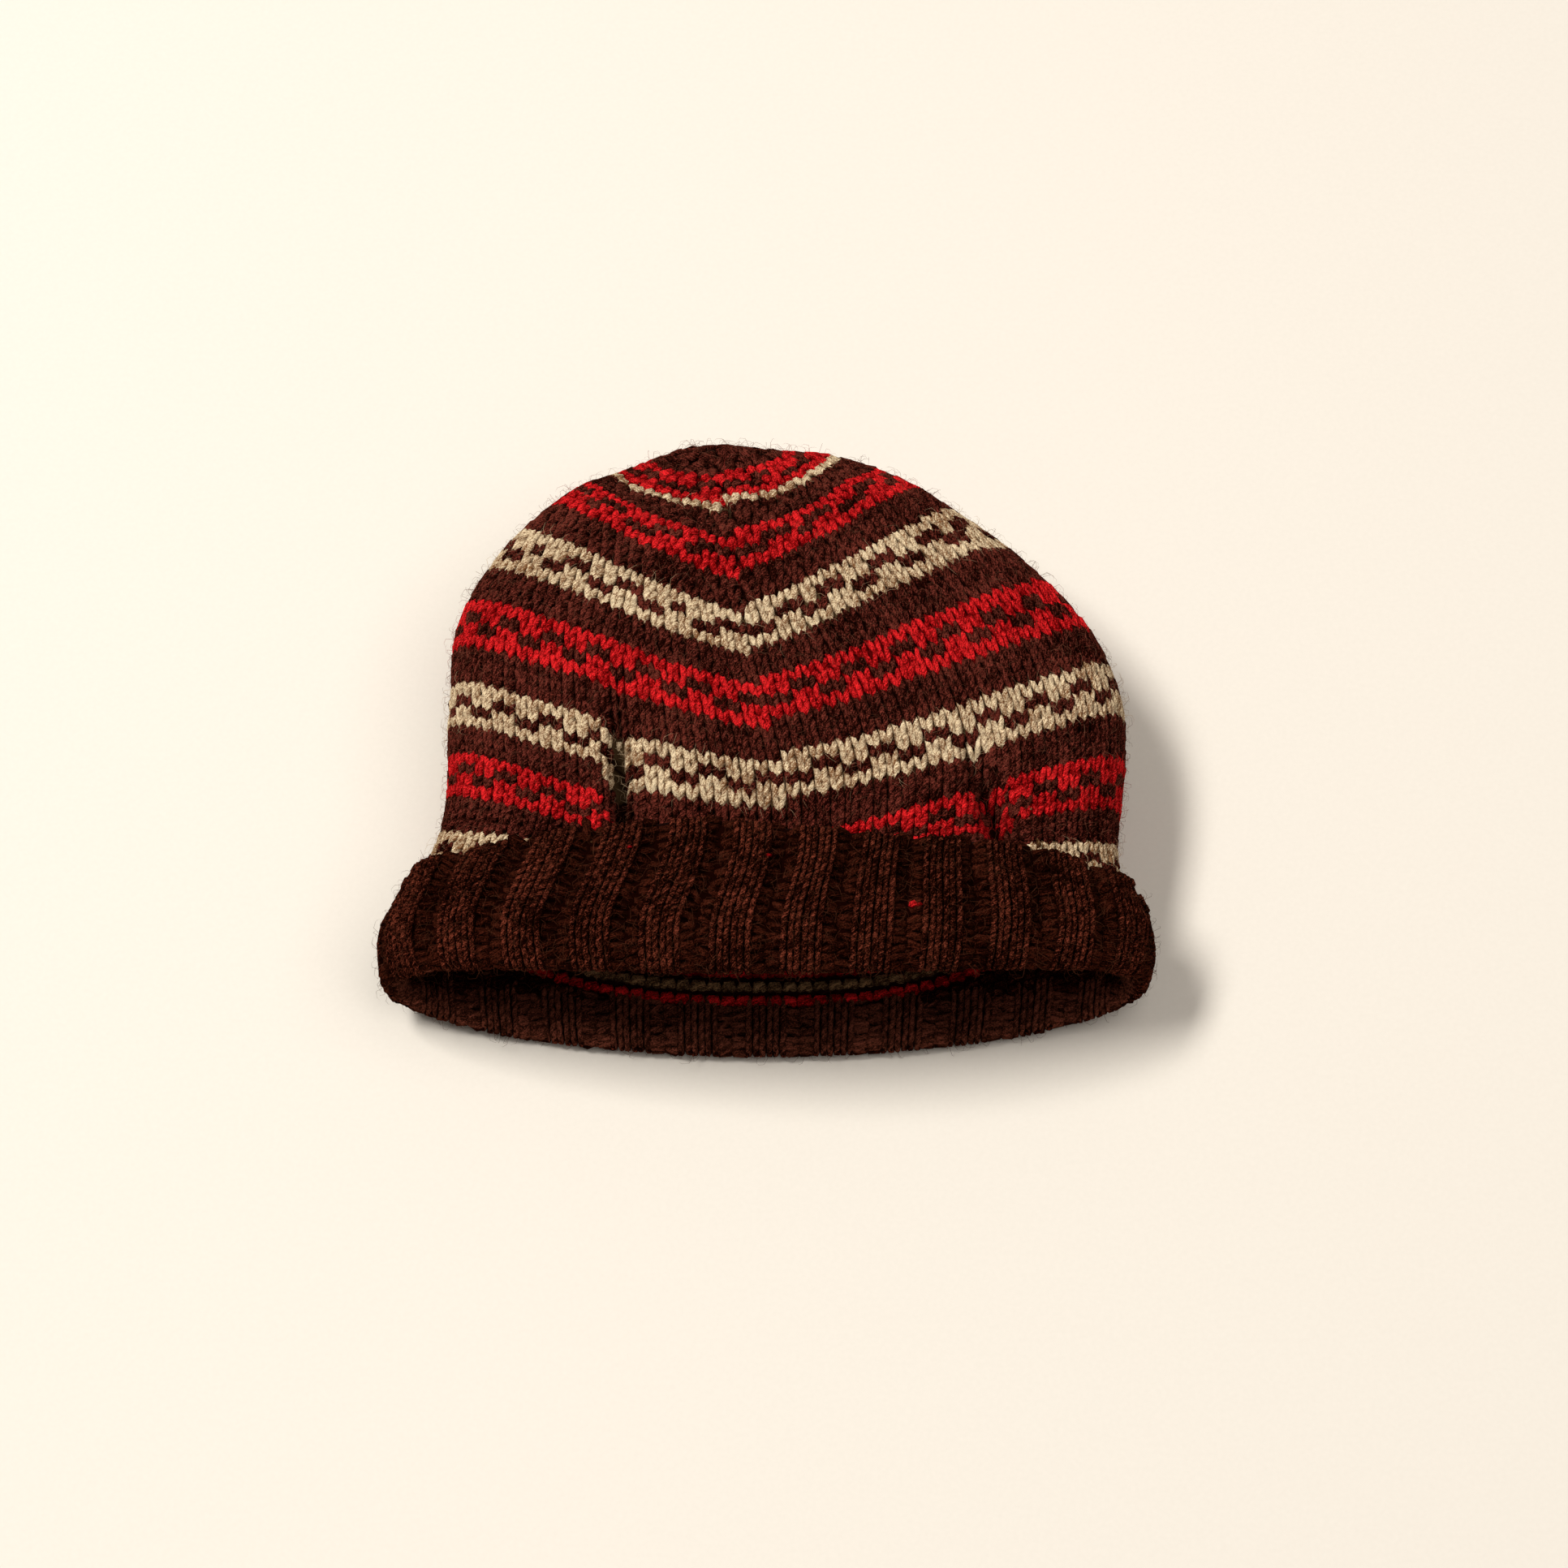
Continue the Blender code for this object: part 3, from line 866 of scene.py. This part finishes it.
# The round climbs one row on its way round, from the middle of the front towards -X.
heights = rounds + columns - 0.5
heights -= slip(columns, heights)
showing = heights > edge_row(columns) - UNDER_THE_EDGE
in_front = (columns < FRONT_REACH) | (columns > 1 - FRONT_REACH)
for name, pick, material in (
    ("crown_red_stitches", colours == "red", RED),
    ("crown_cream_stitches", colours == "cream", CREAM),
    ("crown_brown_stitches_front", (colours == "brown") & in_front, BROWN),
    ("crown_brown_stitches_back", (colours == "brown") & ~in_front, BROWN),
):
    pick = showing & pick
    lay(name, leg, knit_legs(crown, heights[pick], columns[pick], widths[pick]), material, "striped_wool")

# %% [markdown]
# ## The ribbed cuff
#
# Three knit columns and two purl columns make one rib. The knit columns stand up in ridges and the
# purl columns sink between them. The cuff is turned up, so its knit stitches stand on their heads:
# they open towards the fold, not towards the crown.

# %% Columns of the rib
KNIT_COLUMNS, PURL_COLUMNS = 3, 2


def rib_columns(kind):
    """Turns and widths of the knit or the purl columns, all the way round."""
    if kind == "knit":
        width = KNIT_SHARE / KNIT_COLUMNS
        offsets = (np.arange(KNIT_COLUMNS) - (KNIT_COLUMNS - 1) / 2) * width
    else:
        width = (1 - KNIT_SHARE) / PURL_COLUMNS
        offsets = 0.5 + (np.arange(PURL_COLUMNS) - (PURL_COLUMNS - 1) / 2) * width
    turn = ((np.arange(RIB_COUNT)[:, None] + 0.5 + offsets) / RIB_COUNT).ravel() % 1
    return turn, np.full(len(turn), width / RIB_COUNT)


def rib_grid(kind, rows):
    """Row, turn and width of every stitch of one kind."""
    turn, width = rib_columns(kind)
    row = np.repeat(rows, len(turn)).astype(float)
    return row, np.tile(turn, len(rows)), np.tile(width, len(rows))


print("knit and purl columns round the cuff:", len(rib_columns("knit")[0]), len(rib_columns("purl")[0]))

# %% [markdown]
# Light falls on the lower lip of the mouth, but not into its two corners, where the imported wool is
# almost black. So the inside takes a lighter recipe on the lip, as painted light, and the dark one in
# the corners, as painted shade, and chance blurs the line between them. The recipe goes with the
# stitch, not with the camera.

# %% Knit stitches of the cuff
LIT_AT_JOINT, LIT_PER_ROW, LIT_BLUR = 0.13, 0.034, 0.010


def in_the_light(row, turn):
    """Which inner stitches are on the lit lip. It reaches farther round near the fold."""
    reach = LIT_AT_JOINT + LIT_PER_ROW * (row + INNER_ROWS) + chance.normal(0, LIT_BLUR, len(turn))
    return np.abs(turn - 0.5) < reach


row, turn, width = rib_grid("knit", np.arange(-INNER_ROWS, OUTER_ROWS) + 1)
lit = in_the_light(row, turn)
# inside: painted light on the lit lip; corners: painted shade
for side, pick, material in (
    ("outside", row > 0, CUFF_BROWN),
    ("inside", (row <= 0) & lit, PAINTED_LIGHT_BROWN),
    ("corners", (row <= 0) & ~lit, PAINTED_SHADE_BROWN),
):
    legs = knit_legs(cuff, row[pick], turn[pick], width[pick], grows=-1.0, depth=0.0006, tall=1.24,
                     lean=(0.20, 0.34), spread=0.44)
    lay(f"cuff_knit_stitches_{side}", leg, legs, material, "ribbed_wool")

# %% [markdown]
# A purl stitch is a knit stitch seen from behind: a bump that lies across its column. In the grooves
# of the cuff the bumps of two columns stand half a row apart, and they tumble about more.

# %% Purl bumps
BUMP_YARN, LOOK_AHEAD = 0.0021, 0.3
BUMP_WIDTH_CHANCE, BUMP_SIZE_CHANCE = (0.92, 1.12), (0.85, 1.12)


def arches(cloth, row, turn, width, inward=False, depth=0.0009, tall=BUMP_YARN, tumble=0.08):
    """Frames for purl bumps: an arch across the column at each row."""
    place, out = cloth.place(row, turn, depth)
    ahead, _ = cloth.place(row + LOOK_AHEAD, turn, depth)
    near, _ = cloth.place(row, turn - width / 2)
    far, _ = cloth.place(row, turn + width / 2)
    count = len(row)
    wide = np.linalg.norm(far - near, axis=1) * chance.uniform(*BUMP_WIDTH_CHANCE, count)
    along = unit(ahead - place)
    across = np.cross(along, out)
    along = along + across * chance.normal(0, tumble * 2, count)[:, None]
    size = np.stack([wide, np.full(count, tall), np.full(count, BUMP_YARN)], 1)
    size[:, 1:] *= chance.uniform(*BUMP_SIZE_CHANCE, (count, 2))
    facing = (-out if inward else out) + chance.normal(0, tumble, (count, 3))
    return [place, facing, along, size, chance.random(count)]


# %% Purl stitches of the cuff
INNER_PURL_STEP, PURL_JITTER, LAST_INNER_PURL = 0.6, 0.08, 0.2
purl_rows = np.concatenate([np.arange(-INNER_ROWS, 0, INNER_PURL_STEP), np.arange(0, OUTER_ROWS)])
row, turn, width = rib_grid("purl", purl_rows + 0.5)
half_a_row = np.where((np.arange(len(row)) % PURL_COLUMNS) == 0, 0.0, 0.5)
row = row + half_a_row + chance.normal(0, PURL_JITTER, len(row))
lit = in_the_light(row, turn)
# outside and off the lip: painted shade in the grooves and corners; inside: painted light on the lit lip
for side, pick, material in (
    ("outside", (row > LAST_INNER_PURL) | ~lit, PAINTED_SHADE_BROWN),
    ("inside", (row <= LAST_INNER_PURL) & lit, PAINTED_LIGHT_BROWN),
):
    bumps = arches(cuff, row[pick], turn[pick], width[pick], depth=0.0007, tall=0.0027, tumble=0.13)
    lay(f"cuff_purl_stitches_{side}", arch, bumps, material, "ribbed_wool")

# %% Red flecks
# A few stray tufts of red wool sit on the cuff, left over from the stripes. Each has a row and a turn.
FLECKS = ((8.3, 0.917), (8.1, 0.915), (13.2, 0.093), (12.4, 0.009))
FLECK_WIDTH, LARGE_FLECKS, LARGER, PLUMPNESS = 0.0045, 2, 1.5, 0.55
row, turn = np.array(FLECKS).T
tufts = arches(cuff, row, turn, np.full(len(row), FLECK_WIDTH), depth=-0.0001, tall=0.0013, tumble=0.5)
tufts[3][:LARGE_FLECKS] *= LARGER
lay("red_flecks", arch, tufts, RED, "ribbed_wool", PLUMPNESS)

# %% [markdown]
# ## Inside the mouth
#
# The wrong side of the crown shows through the mouth as rows of purl bumps: red, cream and red, then
# brown. They are laid on the inner face of the wall. The back of the mouth sags, so the rows rise
# from its middle to both sides, faster and faster, until they meet the corners.

# %% The crown's inner face
SAG_REACH_LEFT, SAG_REACH_RIGHT, SAG_POWER, MOST_SAG = 0.112, 0.097, 3, 3.4
FIRST_INSIDE, INSIDE_ROUNDS, LOWEST_LEVEL = -3, 13, -0.9
INSIDE_ROW, INSIDE_START, INSIDE_CLIMB = 1.28, -0.45, 0.5
BUMP_SHARE, BUMP_CLEARANCE = 0.78, 0.0004
inner_turns = (np.arange(STITCHES) + 0.5) / STITCHES
inner_width = np.full(STITCHES, 1 / STITCHES)
from_middle = inner_turns - 0.5
reach_of_sag = np.where(from_middle < 0, SAG_REACH_LEFT, SAG_REACH_RIGHT)
sag = np.minimum((np.abs(from_middle) / reach_of_sag) ** SAG_POWER, MOST_SAG)
# inside the mouth the cream and the brown are painted shade; the red is the plain red
for colour, material in (("red", RED), ("cream", PAINTED_SHADE_CREAM), ("brown", PAINTED_SHADE_BROWN)):
    parts = []
    for round_number in range(FIRST_INSIDE, INSIDE_ROUNDS):
        names = np.array([colour_of(round_number, t) for t in inner_turns])
        level = INSIDE_ROW * round_number + INSIDE_START + INSIDE_CLIMB * from_middle + sag
        pick = (names == colour) & (level > LOWEST_LEVEL)
        if pick.any():
            parts.append(arches(crown, level[pick], inner_turns[pick], inner_width[pick] * BUMP_SHARE,
                                True, CROWN_WALL + BUMP_CLEARANCE, tall=0.0033, tumble=0.05))
    bumps = [np.concatenate(part) for part in zip(*parts)]
    lay(f"inside_{colour}_bumps", arch, bumps, material, "striped_wool")

# %% [markdown]
# ## The cloth behind the stitches
#
# Between the legs one sees down to the shaded middle of the knitting. A closed shell fills that
# place, and takes the CAD solid's part. It is painted from the same chart, only darker, as painted
# shade. The solid itself could stay instead, but its smooth plain faces would show wherever the
# stitches part.

# %% Faces of a closed shell
def wall_faces(rows, across, first, inward):
    """Faces between the rows of one grid of points, whose columns close into a ring."""
    faces = []
    for i in range(rows - 1):
        for j in range(across):
            a, b = first + i * across + j, first + i * across + (j + 1) % across
            face = (a, a + across, b + across, b)
            faces.append(face[::-1] if inward else face)
    return faces


def tip_faces(last_ring, tip, across, inward):
    """Triangles from the last ring of a wall to the point that closes it."""
    faces = [(last_ring + j, tip, last_ring + (j + 1) % across) for j in range(across)]
    return [face[::-1] for face in faces] if inward else faces


def rim_faces(outer_ring, inner_ring, across, far_end):
    """Faces that join the outer wall to the inner one, all round one rim."""
    faces = []
    for j in range(across):
        n = (j + 1) % across
        face = (outer_ring + j, outer_ring + n, inner_ring + n, inner_ring + j)
        faces.append(face[::-1] if far_end else face)
    return faces


def shell(name, outer, inner, tips=None):
    """A closed shell between two grids of points. It ends in two tips, or else at a second rim."""
    across = outer.shape[1]
    inner_start = outer.shape[0] * across
    outer_end, inner_end = inner_start - across, inner_start + (inner.shape[0] - 1) * across
    verts = [tuple(p) for p in outer.reshape(-1, 3)] + [tuple(p) for p in inner.reshape(-1, 3)]
    faces = wall_faces(outer.shape[0], across, 0, False)
    faces += wall_faces(inner.shape[0], across, inner_start, True)
    if tips is not None:
        faces += tip_faces(outer_end, len(verts), across, False)
        faces += tip_faces(inner_end, len(verts) + 1, across, True)
        verts += [tuple(tip) for tip in tips]
    faces += rim_faces(0, inner_start, across, False)
    if tips is None:
        faces += rim_faces(outer_end, inner_end, across, True)
    mesh = bpy.data.meshes.new(name)
    mesh.from_pydata(verts, [], faces)
    mesh.polygons.foreach_set("use_smooth", np.ones(len(mesh.polygons), bool))
    piece = bpy.data.objects.new(name, mesh)
    bpy.context.scene.collection.objects.link(piece)
    return piece


# %% Dye of the backing
# The backing tints are the chart's colours made much darker: painted shade between the legs and on the
# inner face.
PAINTED_SHADE_TINTS = {"brown": (0.010, 0.0015, 0.0007), "red": (0.10, 0.0020, 0.0025), "cream": (0.10, 0.060, 0.028)}
PAINTED_SHADE_INNER_TINT = (0.020, 0.0035, 0.0020)
GRAIN_SCALE, GRAIN_HEIGHT, DARKEST = 900.0, 0.0006, (0.35, 0.35, 0.35, 1)


def backing_material(name):
    """The middle of the knitting in painted shade: its dark tint, broken up by fine noise."""
    dye = Dye(name)
    tint = dye.add("ShaderNodeAttribute", {"attribute_name": "tint"}, out="Color")
    grain = noise(dye, GRAIN_SCALE, 3.0, 0.6)
    darker = dye.add("ShaderNodeMix", {"data_type": "RGBA", "blend_type": "MULTIPLY"},
                     {0: 1.0, 6: tint, 7: DARKEST}, out=2)
    bump = dye.add("ShaderNodeBump", None, {"Strength": 1.0, "Distance": GRAIN_HEIGHT, "Height": grain})
    return dye.finish({"Base Color": between(dye, grain, darker, tint), "Roughness": 0.95,
                       "Sheen Weight": 0.01, "Specular IOR Level": 0.0, "Normal": bump})


def paint(piece, tints):
    """Stores a colour at each point of a piece, for its dye to read."""
    layer = piece.data.color_attributes.new("tint", "FLOAT_COLOR", "POINT")
    layer.data.foreach_set("color", np.concatenate([tints, np.ones((len(tints), 1))], 1).ravel())


def chart_tints(row, turn, tints):
    """The tint of the stitch that shows at each row and turn."""
    found = []
    for r, t in zip(row.ravel(), turn.ravel()):
        round_number = int(np.clip(r - t + 0.5 + slip(t, r), 0, ROUNDS - 1))
        found.append(tints[colour_of(round_number, t)])
    return np.array(found)


BACKING = backing_material("wool_backing")
print("backing tints:", PAINTED_SHADE_TINTS)

# %% The crown's shell
SHELL_COLUMNS, SHELL_ROW, INNER_SHELL_ROW, LAST_SHELL_ROW = 224, 0.5, 3.2, 57.6
BEHIND_THE_LEGS = 0.0012
shell_turns = np.arange(SHELL_COLUMNS) / SHELL_COLUMNS
outer_grid = np.meshgrid(np.arange(0, LAST_SHELL_ROW, SHELL_ROW), shell_turns, indexing="ij")
inner_grid = np.meshgrid(np.arange(0, LAST_SHELL_ROW, INNER_SHELL_ROW), shell_turns, indexing="ij")
outer_points, _ = crown.place(*outer_grid, BEHIND_THE_LEGS)
inner_points, _ = crown.place(*inner_grid, CROWN_WALL)
tips = [crown.place(TIP_ROW, 0.0, depth)[0] for depth in (BEHIND_THE_LEGS, CROWN_WALL)]
crown_shell = shell("crown_shell", outer_points, inner_points, tips)
outer_tints = chart_tints(*outer_grid, PAINTED_SHADE_TINTS)
inner_tints = np.tile(PAINTED_SHADE_INNER_TINT, (inner_points.size // 3, 1))
paint(crown_shell, np.concatenate([outer_tints, inner_tints, [PAINTED_SHADE_TINTS["brown"], PAINTED_SHADE_INNER_TINT]]))
crown_shell.data.materials.append(BACKING)
finish_piece(crown_shell, "striped_wool", "crown")

# %% The cuff's shell
CUFF_SHELL_COLUMNS, BEHIND_THE_RIBS, SHORT_OF_THE_WALL = 200, 0.0011, 0.0004
cuff_rows = np.arange(-INNER_ROWS, OUTER_ROWS + 0.01, SHELL_ROW)
cuff_turns = np.arange(CUFF_SHELL_COLUMNS) / CUFF_SHELL_COLUMNS
face_grid = np.meshgrid(cuff_rows, cuff_turns, indexing="ij")
face_points, _ = cuff.place(*face_grid, BEHIND_THE_RIBS)
back_points, _ = cuff.place(*face_grid, RIB_WALL - SHORT_OF_THE_WALL)
cuff_shell = shell("cuff_shell", face_points, back_points)
paint(cuff_shell, np.tile(PAINTED_SHADE_TINTS["brown"], (len(cuff_shell.data.vertices), 1)))
cuff_shell.data.materials.append(BACKING)
finish_piece(cuff_shell, "ribbed_wool", "cuff")

# %% [markdown]
# ## Fuzz
#
# Wool is hairy, and the hairs blur every edge of the cap. They grow from a bare copy of the surface:
# points are scattered over it at random but with a fixed seed, and on each stands a thin bent hair,
# tilted over at random. A hair of the crown takes the colour of the stitch that it grows from.
# Blender's hair curves would be lighter, but the finished cap has to be meshes throughout.

# %% A tree that grows hair
SPIN_SEED, LENGTH_SEED = 5, 9


def random_value(tree, sockets):
    """A random number for each point. Of the node's inputs, 2 is the least and 3 the most."""
    return put(tree, "FunctionNodeRandomValue", {"data_type": "FLOAT"}, sockets)[1]


def hair_tree():
    """Scatters hairs over a surface, each tilted away from it and spun round by chance."""
    inputs = [("Hair", "NodeSocketObject"), ("Density", "NodeSocketFloat"), ("Seed", "NodeSocketInt"),
              ("Shortest", "NodeSocketFloat"), ("Longest", "NodeSocketFloat"),
              ("Lean", "NodeSocketFloat"), ("Material", "NodeSocketMaterial")]
    tree, given, leave = start_tree("grow_hair", inputs)
    scatter = put(tree, "GeometryNodeDistributePointsOnFaces", None, {
        "Mesh": given["Geometry"], "Density": given["Density"], "Seed": given["Seed"]})
    lean_by = random_value(tree, {3: given["Lean"], "Seed": given["Seed"]})
    spin_by = random_value(tree, {3: 2 * math.pi, "Seed": SPIN_SEED})
    angles = put(tree, "ShaderNodeCombineXYZ", None, {"X": lean_by, "Z": spin_by})
    tilt = put(tree, "FunctionNodeEulerToRotation", None, {"Euler": angles["Vector"]})
    turned = put(tree, "FunctionNodeRotateRotation", {"rotation_space": "LOCAL"},
                 {"Rotation": scatter["Rotation"], "Rotate By": tilt["Rotation"]})
    grown = random_value(tree, {2: given["Shortest"], 3: given["Longest"], "Seed": LENGTH_SEED})
    piece = put(tree, "GeometryNodeObjectInfo", None, {"Object": given["Hair"]})
    copies = put(tree, "GeometryNodeInstanceOnPoints", None, {
        "Points": scatter["Points"], "Instance": piece["Geometry"],
        "Rotation": turned["Rotation"], "Scale": grown})
    return end_tree(tree, given, leave, copies["Instances"])


GROW_HAIR = hair_tree()
print("tree", GROW_HAIR.name, "has", len(GROW_HAIR.nodes), "nodes")

# %% One hair
# The line is about 1 long, and the tree scales the hair to its length in metres. Its thickness is a
# share of that length.
HAIR_LINE = ((0, 0, -0.05), (0.03, 0.02, 0.12), (0.22, 0.08, 0.45), (0.52, -0.06, 0.52),
             (0.70, -0.22, 0.40))
HAIR_WIDTH = 0.0080


def hair_strand(name, line, width):
    """A hair is a strand with three sides. Its line stands in Z, so its sides are found from Y."""
    turned = [(x, z, y) for x, y, z in line]
    piece = strand(name, turned, [0, width, width * 0.9, width * 0.6, 0], sides=3)
    co = np.zeros(len(piece.data.vertices) * 3)
    piece.data.vertices.foreach_get("co", co)
    co = co.reshape(-1, 3)[:, [0, 2, 1]]
    piece.data.vertices.foreach_set("co", co.ravel())
    piece.data.flip_normals()
    return piece


def hair_material(name):
    """A hair is too thin for marks: it has the one tint of its stitch."""
    dye = Dye(name)
    tint = dye.add("ShaderNodeAttribute", {"attribute_name": "tint"}, out="Color")
    return dye.finish({"Base Color": tint, "Roughness": 0.9, "Specular IOR Level": 0.0})


hair = hair_strand("hair", HAIR_LINE, HAIR_WIDTH)
HAIR = hair_material("wool_fuzz")

# %% The ground that hair grows from
HAIR_TINTS = {"brown": (0.17, 0.065, 0.040), "red": (0.30, 0.020, 0.018), "cream": (0.50, 0.37, 0.23)}
CUFF_HAIR_TINT = (0.10, 0.034, 0.018)
ROOT_DEPTH, FLOOR_ROOM, LEAST_DOWNWARD = 0.0004, 0.0045, 0.4


def hair_ground(name, cloth, grid, tints, bare_below):
    """The open surface that the hairs grow from, without what the cuff covers or the floor touches."""
    row = grid[0]
    points, out = cloth.place(*grid, ROOT_DEPTH)
    near_floor = points[..., 2] < SOFT_HEIGHT + FLOOR_ROOM * np.maximum(LEAST_DOWNWARD, -out[..., 2])
    bare = (row < bare_below) | near_floor
    rows, across = row.shape
    faces = []
    for i in range(rows - 1):
        for j in range(across):
            if not bare[i, j]:
                a, b = i * across + j, i * across + (j + 1) % across
                faces.append((a, a + across, b + across, b))
    mesh = bpy.data.meshes.new(name)
    mesh.from_pydata([tuple(p) for p in points.reshape(-1, 3)], [], faces)
    ground = bpy.data.objects.new(name, mesh)
    paint(ground, tints)
    print(name, "has", len(faces), "faces")
    return ground


# %% Hair on the crown and on the cuff
HAIR_SEED, SHORTEST, LONGEST, LEAN = 3, 0.0020, 0.0068, 1.60
FIRST_HAIR_ROW, PAST_THE_EDGE = 4.0, 0.8
crown_hair_rows = np.arange(FIRST_HAIR_ROW, LAST_SHELL_ROW, SHELL_ROW)
crown_grid = np.meshgrid(crown_hair_rows, shell_turns, indexing="ij")
cuff_grid = np.meshgrid(cuff_rows, shell_turns, indexing="ij")
crown_tints = chart_tints(*crown_grid, HAIR_TINTS)
cuff_tints = np.tile(CUFF_HAIR_TINT, (cuff_grid[0].size, 1))
bare_below = edge_row(shell_turns) + PAST_THE_EDGE
for name, cloth, grid, tints, bare_rows, density, slot in (
    ("crown_fuzz", crown, crown_grid, crown_tints, bare_below, 150000.0, "striped_wool"),
    ("cuff_fuzz", cuff, cuff_grid, cuff_tints, -INNER_ROWS, 180000.0, "ribbed_wool"),
):
    ground = hair_ground(name + "_ground", cloth, grid, tints, bare_rows)
    values = {"Hair": hair, "Density": density, "Seed": HAIR_SEED, "Shortest": SHORTEST,
              "Longest": LONGEST, "Lean": LEAN, "Material": HAIR}
    finish_piece(run_tree(ground, GROW_HAIR, values, name), slot)
print("triangles in all:", sum(triangles_made))

# %% [markdown]
# ## Floor, light and camera
#
# The floor is plain and pale. A long soft light stands high behind on the left and gives the shadow
# on the right. A second, wider and weaker one hangs over the front on the right and opens that shadow,
# and a little light comes from all round. A sky picture could light the scene too, but three plain
# lights are easier to match one by one.

# %% Floor
FLOOR_HALF, FLOOR_DEPTH, FLOOR_GRAIN = 4.0, 0.0003, 700.0
FLOOR_DARK, FLOOR_LIGHT = (0.82, 0.795, 0.742, 1), (0.86, 0.835, 0.782, 1)


def plain_floor():
    """A pale matt square, which is part of the stage and not of the cap."""
    dye = Dye("pale_floor")
    tone = between(dye, noise(dye, FLOOR_GRAIN, 2.0), FLOOR_DARK, FLOOR_LIGHT)
    material = dye.finish({"Base Color": tone, "Roughness": 0.9, "Specular IOR Level": 0.1})
    mesh = bpy.data.meshes.new("floor")
    corners = ((-1, -1), (1, -1), (1, 1), (-1, 1))
    mesh.from_pydata([(x * FLOOR_HALF, y * FLOOR_HALF, -FLOOR_DEPTH) for x, y in corners], [],
                     [(0, 1, 2, 3)])
    mesh.materials.append(material)
    floor = bpy.data.objects.new("floor", mesh)
    bpy.context.scene.collection.objects.link(floor)
    return floor


plain_floor()
print("floor:", 2 * FLOOR_HALF, "m square")


# %% Light
def area_light(name, place, target, size, watts, colour):
    """A soft rectangular light that looks at a target."""
    data = bpy.data.lights.new(name, "AREA")
    data.shape, data.energy, data.color = "RECTANGLE", watts, colour
    data.size, data.size_y = size
    lamp = bpy.data.objects.new(name, data)
    lamp.location = place
    aim = np.array(target) - np.array(place)
    tilt = math.acos(-aim[2] / np.linalg.norm(aim))
    lamp.rotation_euler = (tilt, 0, math.atan2(aim[1], aim[0]) - math.pi / 2)
    bpy.context.scene.collection.objects.link(lamp)
    return lamp


area_light("key", (-1.55, 0.50, 2.70), (0, 0, 0.02), (1.35, 0.60), 91.0, (1.0, 0.945, 0.870))
area_light("ceiling", (0.9, -0.2, 2.3), (0, 0, 0), (2.0, 2.0), 24.0, (1.0, 0.925, 0.850))
ROOM_COLOUR, ROOM_STRENGTH = (1.0, 0.900, 0.80, 1), 0.15
world = bpy.data.worlds.new("pale_room")
bpy.context.scene.world = world
world.use_nodes = True
room = world.node_tree.nodes["Background"]
room.inputs["Color"].default_value = ROOM_COLOUR
room.inputs["Strength"].default_value = ROOM_STRENGTH
bpy.context.scene.view_settings.view_transform = "Standard"

# %% [markdown]
# The camera looks down at the cap from the side of its mouth, at 65 degrees above the floor. Its
# place is that of the photograph, measured from the cap before the shift to the CAD frame.

# %% Camera
PITCH, SENSOR, FRAME_PIXELS, FOCAL_PIXELS = 65.0, 36.0, 1932.0, 4900.0
EYE = (0.0055406, -0.4360697, 1.1330207)
camera_data = bpy.data.cameras.new("camera")
camera_data.sensor_width, camera_data.lens = SENSOR, SENSOR * FOCAL_PIXELS / FRAME_PIXELS
camera_data.clip_start, camera_data.clip_end = 0.05, 20
camera = bpy.data.objects.new("camera", camera_data)
camera.location = np.array(EYE) - np.array([shift[0], shift[1], 0])
camera.rotation_euler = (math.radians(90 - PITCH), 0, 0)
bpy.context.scene.collection.objects.link(camera)
bpy.context.scene.camera = camera
print("lens in mm:", round(camera_data.lens, 1))

# %% The end
for spare in (leg, arch, hair):
    bpy.data.objects.remove(spare, do_unlink=True)
